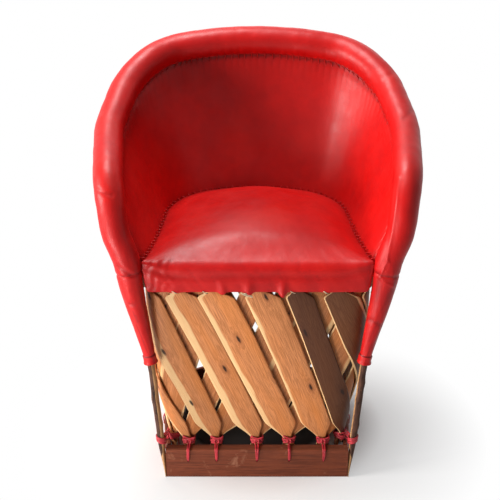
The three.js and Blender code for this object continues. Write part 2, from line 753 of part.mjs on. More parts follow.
// One ruling of the back for each step: from the seat hoop (low) to the middle of the roll (high).
const rulings = shellSteps.map((share, k) => {
  const round = lerp(shellInset, 1 - shellInset, planLengths[k] / planLengths[rimSteps]);
  const { p: low, out } = onPath(seatBent, round, -seatOutset, seatHeight + seatedGap);
  const high = rimPath.getPointAt(share);
  const along = rimPath.getTangentAt(share);
  return { low, high, out, along, share };
});

// Axes of the roll at a share of the rim: u towards the seat, v across, towards the inside.
function rimFrame(share, low) {
  const p = rimPath.getPointAt(share);
  const along = rimPath.getTangentAt(share);
  const u = low.clone().sub(p);
  u.addScaledVector(along, -u.dot(along)).normalize();
  return { p, u, v: new THREE.Vector3().crossVectors(along, u), along };
}

function armFrame(z, side) {
  const share = rimShareAt(z);
  const ruling = side > 0 ? rulings[0] : rulings[rimSteps];
  const level = ruling.low.clone().setZ(z);
  return rimFrame(side > 0 ? share : 1 - share, level);
}

// Radius of the roll at a height of its middle line: slim at the front, fuller over the arms and the top.
function rollRadiusAt(z) {
  const arm = smooth((z - seatEdgeZ) / (armHeight - seatEdgeZ));
  const top = smooth((z - armHeight) / (rimHeight - armHeight));
  return lerp(lerp(rollRadiusFront, rollRadiusArm, arm), rollRadiusTop, top);
}

// Where the back passes through the roll's skin, in the plane square to the roll at a ruling's top.
function slotAim(k) {
  const { high, along, low } = rulings[k];
  const radius = rollRadiusAt(high.z);
  const towardsMiddle = k < rimSteps / 2 ? 1 : -1;
  let near = high;
  for (let j = k + towardsMiddle; rulings[j]; j += towardsMiddle) {
    const below = rulings[j].low.clone().sub(high).dot(along);
    const above = rulings[j].high.clone().sub(high).dot(along);
    if (below * above >= 0) {
      break;
    }
    const crossing = rulings[j].low.clone().lerp(rulings[j].high, below / (below - above));
    const reach = crossing.distanceTo(high);
    if (reach > radius) {
      return near.clone().lerp(crossing, (radius - near.distanceTo(high)) / (reach - near.distanceTo(high)));
    }
    near = crossing;
  }
  return near === high ? low : near;
}

// Posts

function uprightFrame(z, side) {
  const share = rimShareAt(z);
  const p = rimPath.getPointAt(side > 0 ? share : 1 - share);
  const along = rimPath.getTangentAt(side > 0 ? share : 1 - share).multiplyScalar(side);
  const u = acrossX.clone().addScaledVector(along, -along.x).normalize();
  return { p, u, v: new THREE.Vector3().crossVectors(along, u), along };
}

const scarfSlope = scarfLength / (2 * rimRodRadius);

// A ring round the rim's line, cut on a slant, as the meeting faces of the scarf are.
function scarfRing(side, radius, shift) {
  const frame = uprightFrame(scarfHeight, side);
  return ringOn(frame, roundOutline(radius, radius, 8)).map((point) => {
    const across = point.clone().sub(frame.p).y;
    return point.addScaledVector(frame.along, scarfSlope * across + shift);
  });
}

function post(side, radius, fromFloor) {
  const foot = fromFloor ? [[0, footHalfWidth, footHalfDepth], [footTopHeight, postRadius, postRadius]] : [];
  const rings = foot.map(([z, halfX, halfY]) => ringOn(
    {
      p: new THREE.Vector3(side * (boardHalfWidth + seatedGap + halfX), footY, z),
      u: acrossX,
      v: acrossY,
    }, roundOutline(halfX, halfY, 8)));
  const low = fromFloor ? [0.25, 0.5, 0.75] : [];
  const heights = [
    ...low.map((climbShare) => lerp(footTopHeight, cuffLowHeight, climbShare)),
    cuffLowHeight, bandTop, paddingLowHeight, apronHemZ, seatHeight];
  heights.forEach((z) => rings.push(ringOn(uprightFrame(z, side), roundOutline(radius, radius, 8))));
  rings.push(scarfRing(side, radius, -seatedGap));
  return loft(rings, roundOutline(radius, radius, 8));
}

place('front_post_right', post(1, postRadius, true), woods.post);
place('front_post_left', post(-1, postRadius, true), woods.post);

const rodOutline = roundOutline(rimRodRadius, rimRodRadius, 8);

function rodEnd(side) {
  const frame = armFrame(scarfHeight, side);
  return ringOn(frame, rodOutline).map((point) => {
    const across = point.clone().sub(frame.p).y;
    return point.addScaledVector(frame.along, side * (scarfSlope * across + seatedGap));
  });
}

const shellFrames = rulings.map(({ share }, k) => rimFrame(share, slotAim(k)));
const rodRings = shellFrames
  .filter(({ p }) => p.z > scarfHeight + scarfLength / 2 + seatedGap)
  .map((frame) => ringOn(frame, rodOutline));
place('rim_hoop', loft([rodEnd(1), ...rodRings, rodEnd(-1)], rodOutline), woods.post);

// Leather and filling of the roll

const slotHalf = panelStack / 2 + slotClearance;
const rollLow = cuffTopHeight + seatedGap;
const seam = seamWidth / 2;

// Frames from a height of the right arm over the back to the same height of the left arm.
function rollFrames(heights) {
  const right = heights.map((z) => armFrame(z, 1));
  const left = heights.map((z) => armFrame(z, -1)).reverse();
  return [...right, ...shellFrames, ...left];
}

const coverFrames = rollFrames([rollLow]);
place('roll_cover', sweep(coverFrames, (k) => {
  const radius = rollRadiusAt(coverFrames[k].p.z);
  return slottedOutline(radius, radius - leather, slotHalf);
}), redLeather);

const boreRadius = rimRodRadius + boreClearance;
const paddingFrames = rollFrames([paddingLowHeight, apronHemZ, cuffTopHeight - seatedGap, rollLow]);
const paddingBody = sweep(paddingFrames, (k) => {
  const z = paddingFrames[k].p.z;
  const skin = z < cuffTopHeight ? cuffRadiusAt(z) : rollRadiusAt(z);
  return slottedOutline(skin - leather - paddingGap, boreRadius, z < cuffTopHeight ? seam : slotHalf);
});

// Seat rail, notched round the posts, and the room it takes in the cuffs

const railHalfLength = rimPath.getPointAt(rimShareAt(seatHeight - seatHoopHeight / 2)).x;

function rail(extra) {
  const ends = [-railHalfLength, railHalfLength].map((x) => ({
    p: new THREE.Vector3(x, (railFaceY + railBackY) / 2, seatHeight - seatHoopHeight / 2),
    u: acrossY,
    v: up,
  }));
  const outline = roundedOutline(
    railThickness / 2 + extra, seatHoopHeight / 2 + extra, hoopEdgeRadius + extra, 1);
  return sweep(ends, () => outline);
}

const railRoom = rail(seatedGap);
place('seat_front_rail', cut(
  rail(0), [1, -1].map((side) => post(side, postRadius + seatedGap, false))), woods.board);
place('roll_padding', cut(paddingBody, [railRoom]), filling);

function cuff(side) {
  const heights = [cuffLowHeight, bandTop - seatedGap, bandTop, paddingLowHeight, apronHemZ, cuffTopHeight];
  const frames = heights.map((z) => armFrame(z, side));
  const body = sweep(frames, (k) => {
    const band = heights[k] < bandTop ? cuffBandProud : 0;
    const radius = cuffRadiusAt(heights[k]);
    return slottedOutline(radius + band, radius - leather, seam);
  });
  return cut(body, [railRoom]);
}
place('cuff_right', cuff(1), redLeather);
place('cuff_left', cuff(-1), redLeather);

// Back panels and staves between the seat hoop and the rim

// Share of a ruling, from the seat up, that ends at a distance from the middle of the roll.
function shareNear({ low, high, along }, distance) {
  const ruling = low.clone().sub(high);
  const square = ruling.clone().addScaledVector(along, -ruling.dot(along)).length();
  return 1 - distance / square;
}

const outwards = rulings.map(({ low, high, along, out }) => ({
  low: out,
  high: new THREE.Vector3().crossVectors(low.clone().sub(high), along).normalize(),
}));

// A place on a ruling, set off outwards from its middle surface. A negative climb hangs straight down.
function onShell(k, climb, offset) {
  const ruling = rulings[k];
  if (climb <= 0) {
    return ruling.low.clone().addScaledVector(outwards[k].low, offset).add(new THREE.Vector3(0, 0, climb));
  }
  const out = outwards[k].low.clone().lerp(outwards[k].high, smooth(climb / outTurnShare)).normalize();
  return ruling.low.clone().lerp(ruling.high, climb).addScaledVector(out, offset);
}

const shellClimbShares = [0.12, 0.4, 0.7];
const panelTopShare = (k) => shareNear(
  rulings[k], rollRadiusAt(rulings[k].high.z) - panelTuck);

// Heights of a panel's rows on a ruling: what hangs below the hoop, then shares of the ruling.
function panelRows(k, hem, top) {
  return [...hem, 0, ...shellClimbShares.map((climbShare) => climbShare * top), top];
}

function panel(inside, outside, hem) {
  const grid = (offset) => {
    const columns = rulings.map((ruling, k) => (
      panelRows(k, hem, panelTopShare(k)).map((climb) => onShell(k, climb, offset))));
    return columns[0].map((unused, row) => columns.map((column) => column[row]));
  };
  return sheet(grid(inside), grid(outside));
}

const staveFace = staveThickness / 2;
const panelFace = staveFace + panelGap;
place('inner_back_panel', panel(-panelFace - leather, -panelFace, []), redLeather);
place('outer_back_panel', panel(panelFace, panelFace + leather, [-panelHem]), redLeather);

function stave(index) {
  const step = Math.round(lerp(staveFirstShare, 1 - staveFirstShare, index / (staveCount - 1)) * rimSteps);
  const k = Math.min(step, rimSteps - 1);
  const tops = [k, k + 1].map((column) => shareNear(rulings[column], rimRodRadius + panelGap));
  const row = (r) => {
    const at = (offset) => [k, k + 1].map((column, i) => {
      const panelTop = panelTopShare(column);
      const climbs = [-staveFoot, 0, ...shellClimbShares.map((share) => share * panelTop), panelTop, tops[i]];
      return onShell(column, climbs[r], offset);
    });
    const inner = at(-staveFace);
    const outer = at(staveFace);
    const between = ([a, b], edge) => a.clone().lerp(b, edge);
    return [
      between(inner, staveEdgeShare), between(inner, 1 - staveEdgeShare),
      between(outer, 1 - staveEdgeShare), between(outer, staveEdgeShare)];
  };
  const rings = [0, 1, 2, 3, 4, 5, 6].map(row);
  return loft(rings, [[0, 0], [1, 0], [1, 1], [0, 1]]);
}
for (let i = 0; i < staveCount; i += 1) {
  place(`back_stave_${i + 1}`, stave(i), woods.slat);
}

// Seat: woven strips across the hoop, filling, and the stretched leather over it

const matLow = seatHeight + seatedGap;
const matTop = matLow + matThickness;

function mat() {
  const edge = Array.from({ length: 2 * seatPlanSteps + 1 }, (unused, i) => (
    onPath(seatBent, i / (2 * seatPlanSteps), -matBearing).p));
  const front = railFaceY + matBearing;
  const outline = [edge[0].clone().setY(front), ...edge, edge[edge.length - 1].clone().setY(front)];
  const shape = new THREE.Shape(outline.map(({ x, y }) => new THREE.Vector2(x, y)));
  const gap = (matStripPitch - matStripWidth) / 2;
  const gaps = [];
  const reach = Math.floor(seatFrontHalfWidth / matStripPitch);
  const rows = Math.floor((seatBackY - railBackY) / matStripPitch);
  for (let column = -reach; column <= reach; column += 1) {
    for (let row = 0; row < rows; row += 1) {
      const x = column * matStripPitch;
      const y = railBackY + (row + 0.5) * matStripPitch;
      const nearer = widthAt(edge, y - matStripPitch / 2);
      const farther = widthAt(edge, y + matStripPitch / 2);
      if (Math.abs(x) + matStripPitch / 2 < Math.min(nearer, farther)) {
        gaps.push(block(
          new THREE.Vector3(x - gap, y - gap, matLow - cutOverrun),
          new THREE.Vector3(x + gap, y + gap, matTop + cutOverrun)));
      }
    }
  }
  const plate = new THREE.ExtrudeGeometry(shape, { depth: matThickness, bevelEnabled: false, steps: 1 });
  plate.translate(0, 0, matLow);
  return cut(plate, gaps);
}

// Half width of an outline of right-hand points at a distance back.
function widthAt(edge, y) {
  const past = edge.findIndex((point, i) => i <= seatPlanSteps && point.y > y);
  return past < 0 ? 0 : edge[past].x;
}

// The cushion's outline on a step of the back, leaning out with it, or on the front edge.
function backEdge(k, z) {
  const { low, high, out } = rulings[k];
  const lean = high.clone().sub(low);
  const reach = lean.clone().setZ(0);
  const slope = reach.clone().divideScalar(Math.max(lean.z, reach.length() / seatLeanLimit));
  const inset = panelFace + leather + cushionGap;
  return low.clone().addScaledVector(slope, z - low.z).addScaledVector(out, -inset).setZ(z);
}

function frontEdge(share, z) {
  const half = apronHalfWidth + apronFlare * (z - apronHemZ) / (seatEdgeZ - apronHemZ);
  const corner = Math.abs(share) === 1 && z > apronHemZ ? cornerTrim : 0;
  return new THREE.Vector3(share * (half - corner), apronY + corner / 2, z);
}

// The apron hangs between the inner ones of these; its corners stay above the rail.
const frontShares = [-1, -0.985, -0.7, -0.35, 0, 0.35, 0.7, 0.985, 1];
const seatOutline = [
  ...frontShares.map((share) => (z) => frontEdge(share, z)),
  ...rulings.map((unused, k) => (z) => backEdge(k, z)),
];
const isApron = (index) => index > 0 && index < frontShares.length - 1;
const seatCrown = new THREE.Vector3(0, seatCrownY, seatHeight + seatCrownHeight);

// Inward direction of the cushion's outline at each of its points.
const inwards = seatOutline.map((edge, i) => {
  const before = seatOutline[(i + seatOutline.length - 1) % seatOutline.length](seatHeight);
  const after = seatOutline[(i + 1) % seatOutline.length](seatHeight);
  const along = after.sub(before).setZ(0).normalize();
  return new THREE.Vector3(-along.y, along.x, 0);
});

function edgeRise(y) {
  const back = clamp01((y - apronY) / (seatBackY - apronY));
  return lerp(seatFrontEdgeRise, seatBackEdgeRise, back ** 3);
}

// Half the cushion's width at a distance back.
function seatHalfAt(y) {
  const right = seatOutline.slice(frontShares.length - 1, frontShares.length + rimSteps / 2)
    .map((edge) => edge(seatEdgeZ));
  const next = Math.max(right.findIndex((point) => point.y > y), 1);
  const from = right[next - 1];
  const to = right[next];
  return lerp(from.x, to.x, clamp01((y - from.y) / (to.y - from.y)));
}

// Rise of the crown at a place, as a share of its height over the edge.
function crownRise({ x, y }) {
  const end = y < seatCrownY ? apronY : seatBackY - seatOutset;
  const across = clamp01(Math.abs(x) / seatHalfAt(y));
  const deep = clamp01((y - seatCrownY) / (end - seatCrownY));
  return (1 - across ** crownAcrossShare) * (1 - deep ** crownDeepShare) ** crownFullShare;
}

// The rings of the cushion's skin, drawn in by an inset: wall, rounded edge, then the crown.
function cushionRings(inset, bottomAt) {
  const topZ = seatOutline.map((edge) => seatHeight + edgeRise(edge(seatEdgeZ).y));
  const wall = (zAt) => seatOutline.map((edge, i) => (
    edge(zAt(i)).addScaledVector(inwards[i], inset)));
  const rings = [
    wall(bottomAt),
    wall(() => matTop + cushionGap + inset),
    wall((i) => topZ[i] - seatEdgeRadius),
  ];
  const rim = seatOutline.map((edge, i) => edge(topZ[i] - seatEdgeRadius * edgeTurnShare)
    .addScaledVector(inwards[i], seatEdgeRadius * edgeTurnShare + inset));
  rings.push(rim);
  for (const inShare of crownStepShares) {
    rings.push(rim.map((point, i) => {
      const start = topZ[i] - inset;
      const inner = point.clone().lerp(seatCrown, inShare);
      return inner.setZ(lerp(start, seatCrown.z - inset, crownRise(inner)));
    }));
  }
  return rings;
}

// A lidded solid: the outer rings up to the crown, and the inner rings or a flat bottom below them.
function domed(outer, inner) {
  const count = outer[0].length;
  const points = outer.flat();
  const faces = [];
  outer.slice(1).forEach((unused, r) => sideFaces(points, faces, r * count, (r + 1) * count, count, true));
  points.push(closingPoint(outer));
  const last = (outer.length - 1) * count;
  const top = points.length - 1;
  for (let i = 0; i < count; i += 1) {
    faces.push([last + i, last + (i + 1) % count, top]);
  }
  const base = points.length;
  points.push(...inner.flat());
  for (let i = 0; i < count; i += 1) {
    const next = (i + 1) % count;
    faces.push([i, base + next, next], [i, base + i, base + next]);
  }
  for (let r = 0; r + 1 < inner.length; r += 1) {
    const start = faces.length;
    sideFaces(points, faces, base + r * count, base + (r + 1) * count, count, true);
    for (let f = start; f < faces.length; f += 1) {
      faces[f].reverse();
    }
  }
  points.push(closingPoint(inner));
  const innerLast = base + (inner.length - 1) * count;
  for (let i = 0; i < count; i += 1) {
    faces.push([innerLast + i, points.length - 1, innerLast + (i + 1) % count]);
  }
  return solidFrom(points, faces);
}

// The point that closes a stack of rings: the crown's top over a stack, and the middle of a lone ring.
function closingPoint(rings) {
  const last = rings[rings.length - 1];
  if (rings.length > 1) {
    return new THREE.Vector3(seatCrown.x, seatCrown.y, Math.max(...last.map(({ z }) => z)));
  }
  return last.reduce((sum, point) => sum.add(point), new THREE.Vector3()).divideScalar(last.length);
}

const sideHemZ = matTop + cushionGap;
const hemAt = (i) => (isApron(i) ? apronHemZ : sideHemZ);
place('seat_mat', mat(), woods.slat);
place('seat_cover', domed(cushionRings(0, hemAt), cushionRings(leather, hemAt)), redLeather);
const cushionInset = leather + paddingGap;
const fillingRings = cushionRings(cushionInset, () => sideHemZ);
place('seat_padding', domed(fillingRings.slice(1), [fillingRings[0]]), filling);

// The facets of the front and the back fall a little short of their curves, so the origin is set last.
const whole = new THREE.Box3().setFromObject(chair);
chair.position.y = -(whole.min.y + whole.max.y) / 2;

export default chair;
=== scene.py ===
"""Equipale chair: leather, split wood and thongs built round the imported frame.

Shapes are worked out in millimetres in the frame of the CAD model, front towards -Y,
and turned to metres when a mesh is made.
"""
import math

import bpy
import numpy as np
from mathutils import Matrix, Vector, noise


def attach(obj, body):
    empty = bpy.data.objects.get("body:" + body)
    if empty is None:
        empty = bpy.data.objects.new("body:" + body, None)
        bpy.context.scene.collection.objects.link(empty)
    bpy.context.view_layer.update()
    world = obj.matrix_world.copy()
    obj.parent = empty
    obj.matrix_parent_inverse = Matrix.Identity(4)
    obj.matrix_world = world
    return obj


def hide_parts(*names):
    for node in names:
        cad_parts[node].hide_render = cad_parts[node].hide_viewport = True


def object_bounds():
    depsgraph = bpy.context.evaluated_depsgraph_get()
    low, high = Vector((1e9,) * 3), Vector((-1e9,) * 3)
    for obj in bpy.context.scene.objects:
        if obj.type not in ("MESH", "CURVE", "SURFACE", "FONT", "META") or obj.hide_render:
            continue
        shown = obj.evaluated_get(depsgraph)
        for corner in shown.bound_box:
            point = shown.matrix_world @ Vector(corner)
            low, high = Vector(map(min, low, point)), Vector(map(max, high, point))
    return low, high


bl_info = {
    "name": "Equipale Chair",
    "version": (1, 0, 0),
    "blender": (4, 5, 0),
    "location": "3D View > Sidebar > Equipale",
    "description": "Dresses a barrel chair of stretched leather on a drum of crossed slats",
    "category": "Object",
}

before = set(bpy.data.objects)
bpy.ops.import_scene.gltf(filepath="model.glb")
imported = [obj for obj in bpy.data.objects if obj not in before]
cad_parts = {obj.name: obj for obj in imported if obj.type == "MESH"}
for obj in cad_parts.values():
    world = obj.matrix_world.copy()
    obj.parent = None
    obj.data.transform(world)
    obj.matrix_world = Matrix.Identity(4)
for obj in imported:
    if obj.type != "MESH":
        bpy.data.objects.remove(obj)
CAD_BOX = [list(corner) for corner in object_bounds()]

MM = 0.001                  # metres in a millimetre
BODY = "root"

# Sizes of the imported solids, in millimetres
CENTRE_SHIFT = 0.3          # how far the CAD model is moved back at its end
BOARD_FACE_Y = -220.0
BOARD_BACK_Y = -198.0
BOARD_HALF = 178.0
BOARD_HEIGHT = 62.0
HOOP_THICKNESS = 9.0
HOOP_WAIST_HALF = 196.0
HOOP_BACK_Y = 150.0
HOOP_WAIST_Y = -20.0
SEAT_HEIGHT = 432.0
SEAT_HOOP_HEIGHT = 22.0
SEAT_HOOP_THICKNESS = 14.0
SEAT_FRONT_HALF = 199.0
SEAT_WAIST_HALF = 181.0
SEAT_WAIST_Y = 10.0
SEAT_BACK_Y = 146.0
RAIL_BACK_Y = -212.3
APRON_Y = -232.0
APRON_HALF = 203.0
APRON_FLARE = 5.0
APRON_HEM = 400.0
SEAT_EDGE = 459.0
PLAN_STEPS = 26
SQUARENESS = 2.5            # exponent of the plan's round back
CORNER_RADIUS = 34.0
SEATED = 0.3                # gap between two seated pieces
RIM_FRONT_Y = -226.0
RIM_BACK_Y = 219.0
RIM_HEIGHT = 795.0
RIM_HALF = 283.0
ARM_HEIGHT = 660.0
POST_RADIUS = 7.6
POST_LEAN = 12.0            # outwards, from the foot to the cuff
CUFF_RADII = (10.6, 23.5)   # above its band, and where it runs into the roll
ROLL_RADII = (24.0, 27.5, 31.0)     # at the seat, on the arms and on the back
FOOT_TOP = 75.0
FOOT_HALF_DEPTH = 9.0
FOOT_HALF_WIDTH = 1.4
CUFF_LOW = 258.0
CUFF_BAND = 16.0
CUFF_TOP = 435.0
SHELL_LOW = 462.0
PANEL_MIDDLE = 3.2          # from the middle of the back to a panel's hidden face
LEATHER = 2.4
DRUM_FRONT_HALF = 209.0
DRUM_WAIST_HALF = 208.0
DRUM_FRONT_Y = -219.0
DRUM_BACK_Y = 158.0
SLAT_HEIGHTS = (48.0, 409.4)
SLAT_THICKNESS = 6.0
SLAT_SETBACK = 0.8
SLAT_LAYER_GAP = 1.7
SLAT_BOW = 11.0             # outwards, half way up
SLAT_TIP = 16.0
SLAT_TAPER = 45.0
SLAT_TOP_TAPER = 18.0
INNER_TOP_TAPER = 8.0
INNER_WIDER = 14.0          # an inner slat may be this much wider than an outer one
INNER_FILL = 0.14           # and fills this much more of the distance between two ties
FRONT_SLAT_WIDTHS = {0: 54.0, 1: 60.0, 2: 56.0, 3: 44.0, 13: 40.0, 14: 32.0, 15: 50.0}
SLAT_TIP_REACH = 14.0
TIE_RISE = 5.0
THONG_BAND = 10.0
HOLE_HEIGHT = 38.0
SIDE_TIES = 9
TIES_RIGHT = (63.0, 130.0)
TIES_LEFT = (134.0, 79.0)
CORNER_TIE = 3              # the ties at the two front corners, counted from the middle one
CORNER_TIE_SHARE = 0.75     # of the way round the corner
TIE_SPREAD = 1.1            # distances between the ties at the seat, to those at the base

# Places of the rim as shares: of the half width, from front to back, and from the seat up
RIM_SHARES = (
    (0.883, 0.010, 0.215), (0.908, 0.040, 0.350), (0.933, 0.100, 0.441),
    (0.954, 0.190, 0.496), (0.982, 0.328, 0.556), (1.0, 0.463, 0.623),
    (0.975, 0.599, 0.705), (0.926, 0.734, 0.799), (0.784, 0.869, 0.904),
    (0.625, 0.953, 0.953), (0.353, 0.986, 0.986))


def size_property(name, description, value, least, most):
    """A length, given here in millimetres."""
    return bpy.props.FloatProperty(name=name, description=description, default=value * MM,
                                   min=least * MM, max=most * MM, precision=4, unit="LENGTH")


class ChairSizes(bpy.types.PropertyGroup):
    """Sizes of the details that are worked into the leather and the wood."""

    pucker: size_property("Pucker", "Depth of the gathers along the laced rim", 1.2, 0, 4)
    pucker_pitch: size_property("Pucker pitch", "Distance between two gathers", 15.0, 5, 30)
    crown: size_property("Crown", "Top of the cushion above the seat hoop", 87.0, 40, 110)
    slat_fill: bpy.props.FloatProperty(
        name="Slat fill", description="Width of a slat, as a share of the distance between two ties",
        default=0.79, min=0.5, max=0.96, subtype="FACTOR")
    slat_width: size_property("Slat width", "Width of the widest outer slats", 60.0, 20, 60)
    thong_width: size_property("Thong width", "Width of a cut thong", 5.0, 2, 8)
    stitch: size_property("Stitch", "Thickness of the sewing cord", 0.9, 0.3, 2)


def colour_property(name, description, value):
    return bpy.props.StringProperty(name=name, description=description, default=value)


class ChairColours(bpy.types.PropertyGroup):
    """Colours of the finishes, as sRGB hex values."""

    leather: colour_property("Leather", "Dyed hide where it is lit", "#c60c09")
    leather_deep: colour_property("Deep leather", "Dye that has pooled in the hide", "#930309")
    # Lighter hide: partly rubbed wear, partly a painted highlight on tops, ridges and crests
    leather_worn_and_highlight: colour_property("Worn leather", "Hide where it is stretched and rubbed", "#de2a1c")
    thong: colour_property("Thong", "Cut thong of the same hide", "#c2363f")
    heartwood: colour_property("Heartwood", "Middle of a split slat", "#d38a57")
    heartwood_dark: colour_property("Dark grain", "Late wood and knots", "#86491f")
    sapwood: colour_property("Sapwood", "Pale edge of a split slat", "#e6bf8a")
    base_wood: colour_property("Base wood", "Stained board and hoops", "#7c3c24")
    bark: colour_property("Bark", "Outer side of the posts", "#5e3c2e")
    stick: colour_property("Stick", "Split inner side of the posts", "#bb8f63")
    thread: colour_property("Cord", "Sewing cord", "#d8c8a8")
    floor: colour_property("Floor", "Studio floor", "#dcdcdc")


def sizes():
    return bpy.context.scene.equipale_sizes


def size(name):
    """One of the user's lengths, in millimetres."""
    return getattr(sizes(), name) / MM


def colours():
    return bpy.context.scene.equipale_colours


# Curves and plans

def unit(vectors):
    return vectors / np.maximum(np.linalg.norm(vectors, axis=-1, keepdims=True), 1e-9)


def square_to(vectors, along):
    """Unit vectors at right angles to a direction, nearest to the vectors given."""
    return unit(vectors - along * (vectors * along).sum(-1, keepdims=True))


def raised(z):
    return np.array([0, 0, z])


def circle(count):
    """Places all round a circle with a radius of 1."""
    angles = np.linspace(0, 2 * math.pi, count, endpoint=False)
    return np.stack([np.cos(angles), np.sin(angles)], -1)


def lerp(a, b, share):
    return a + (b - a) * share


def smooth(value, low=0.0, high=1.0):
    share = np.clip((value - low) / (high - low), 0, 1)
    return share * share * (3 - 2 * share)


def bell(value, width):
    """1 in the middle, falling off over a width."""
    return np.exp(-(value / width) ** 2)


class Path:
    """A smooth curve through points, walked by shares of its length."""

    STEPS = 24

    def __init__(self, points, closed=False):
        points = np.asarray(points, float)
        if closed:
            around = np.vstack([points[-1:], points, points[:2]])
        else:
            before = 2 * points[:1] - points[1:2]
            after = 2 * points[-1:] - points[-2:-1]
            around = np.vstack([before, points, after])
        t = np.linspace(0, 1, self.STEPS, endpoint=False)[:, None]
        runs = []
        for p0, p1, p2, p3 in zip(around, around[1:], around[2:], around[3:]):
            d0, d1, d2 = (math.sqrt(np.linalg.norm(b - a)) for a, b in ((p0, p1), (p1, p2), (p2, p3)))
            m1 = ((p1 - p0) / d0 - (p2 - p0) / (d0 + d1) + (p2 - p1) / d1) * d1
            m2 = ((p2 - p1) / d1 - (p3 - p1) / (d1 + d2) + (p3 - p2) / d2) * d1
            runs.append(p1 + m1 * t + (3 * (p2 - p1) - 2 * m1 - m2) * t ** 2
                        + (2 * (p1 - p2) + m1 + m2) * t ** 3)
        runs.append(points[:1] if closed else points[-1:])
        self.points = np.vstack(runs)
        steps = np.linalg.norm(np.diff(self.points, axis=0), axis=1)
        self.lengths = np.concatenate([[0], np.cumsum(steps)])
        self.length = self.lengths[-1]

    def at(self, share):
        where = np.asarray(share, float) * self.length
        return np.stack([np.interp(where, self.lengths, axis) for axis in self.points.T], -1)

    def along(self, share, reach=2e-3):
        share = np.asarray(share, float)
        low = np.clip(share - reach, 0, 1)
        high = np.clip(share + reach, 0, 1)
        return unit(self.at(high) - self.at(low))

    def share_at(self, values, axis, limit=0.5):
        """Shares, up to a limit, where a coordinate that only grows has these values."""
        shares = self.lengths / self.length
        kept = shares <= limit
        return np.interp(values, self.points[kept, axis], shares[kept])


def bent_path(front_half, waist_half, front_y, waist_y, back_y):
    right = []
    for i in range(PLAN_STEPS):
        share = i / PLAN_STEPS
        flare = (front_half - waist_half) * (1 - share) ** 2
        right.append((waist_half + flare, lerp(front_y, waist_y, share), 0))
    for i in range(PLAN_STEPS + 1):
        angle = i / PLAN_STEPS * math.pi / 2
        x = waist_half * max(math.cos(angle), 0) ** (2 / SQUARENESS) if i < PLAN_STEPS else 0
        right.append((x, lerp(waist_y, back_y, math.sin(angle) ** (2 / SQUARENESS)), 0))
    left = [(-x, y, z) for x, y, z in right[-2::-1]]
    return Path(right + left)


def on_plan(path, share, inset=0.0, z=0.0):
    """Places beside a plan, and the direction that points out of the chair there."""
    share = np.asarray(share, float)
    along = path.along(share)
    out = unit(np.stack([along[..., 1], -along[..., 0], 0 * along[..., 0]], -1))
    place = path.at(share) - out * np.asarray(inset, float)[..., None]
    place[..., 2] = z
    return place, out


def closed_path(bent, inset, front_y):
    shares = np.arange(2 * PLAN_STEPS + 1) / (4 * PLAN_STEPS)
    places, _ = on_plan(bent, shares, inset)
    right = [p for p in places if p[1] > front_y + CORNER_RADIUS]
    corner = np.array([right[0][0] - CORNER_RADIUS, front_y + CORNER_RADIUS, 0])
    arc = []
    for turn in (0, 0.25, 0.5, 0.75):
        angle = (turn - 1) * math.pi / 2
        arc.append(corner + CORNER_RADIUS * np.array([math.cos(angle), math.sin(angle), 0]))
    front = [np.array([share * corner[0], front_y, 0]) for share in (0, 0.33, 0.66)]
    half = front + arc + right
    half[-1] = half[-1] * np.array([0, 1, 1])
    mirrored = [p * np.array([-1, 1, 1]) for p in half[-2:0:-1]]
    path = Path(half + mirrored, closed=True)
    path.front_half = corner[0] + CORNER_RADIUS
    return path


BASE_SLANT = HOOP_THICKNESS * (HOOP_WAIST_HALF - BOARD_HALF) / (HOOP_WAIST_Y - BOARD_BACK_Y)
BASE_BENT = bent_path(
    BOARD_HALF - HOOP_THICKNESS / 2, HOOP_WAIST_HALF - HOOP_THICKNESS / 2,
    BOARD_BACK_Y + SEATED + BASE_SLANT, HOOP_WAIST_Y, HOOP_BACK_Y - HOOP_THICKNESS / 2)
BASE_LOOP = closed_path(BASE_BENT, HOOP_THICKNESS / 2, BOARD_BACK_Y)
HOOP_SLANT = SEAT_HOOP_THICKNESS * (SEAT_FRONT_HALF - SEAT_WAIST_HALF) / (SEAT_WAIST_Y - RAIL_BACK_Y)
SEAT_BENT = bent_path(
    SEAT_FRONT_HALF - SEAT_HOOP_THICKNESS / 2, SEAT_WAIST_HALF - SEAT_HOOP_THICKNESS / 2,
    RAIL_BACK_Y + SEATED + HOOP_SLANT, SEAT_WAIST_Y, SEAT_BACK_Y - SEAT_HOOP_THICKNESS / 2)
DRUM_BENT = bent_path(DRUM_FRONT_HALF, DRUM_WAIST_HALF, DRUM_FRONT_Y, SEAT_WAIST_Y, DRUM_BACK_Y)
SEAT_LOOP = closed_path(DRUM_BENT, 0, DRUM_FRONT_Y)


def tie_shares(loop, spread):
    corner = loop.front_half + CORNER_RADIUS * (CORNER_TIE_SHARE * math.pi / 2 - 1)
    side = [lerp(corner, loop.length - corner, (i + 1) / (SIDE_TIES + 1)) for i in range(SIDE_TIES)]
    right = [spread * d for d in TIES_RIGHT]
    left = [loop.length - corner] + [loop.length - spread * d for d in TIES_LEFT]
    return np.array([0, *right, corner, *side, *left]) / loop.length


BASE_TIES = tie_shares(BASE_LOOP, 1.0)
SEAT_TIES = tie_shares(SEAT_LOOP, TIE_SPREAD)
TIE_COUNT = len(BASE_TIES)


def tie_at(ties, index):
    return ties[index % TIE_COUNT] + index // TIE_COUNT


# The rim: the middle line of the posts and the roll, right foot to back to left foot

def cuff_radius(z):
    return lerp(*CUFF_RADII, np.clip((z - CUFF_LOW - CUFF_BAND) / (CUFF_TOP - CUFF_LOW - CUFF_BAND), 0, 1))


def roll_radius(z):
    arm = smooth(z, SEAT_EDGE, ARM_HEIGHT)
    top = smooth(z, ARM_HEIGHT, RIM_HEIGHT)
    return lerp(lerp(*ROLL_RADII[:2], arm), ROLL_RADII[2], top)


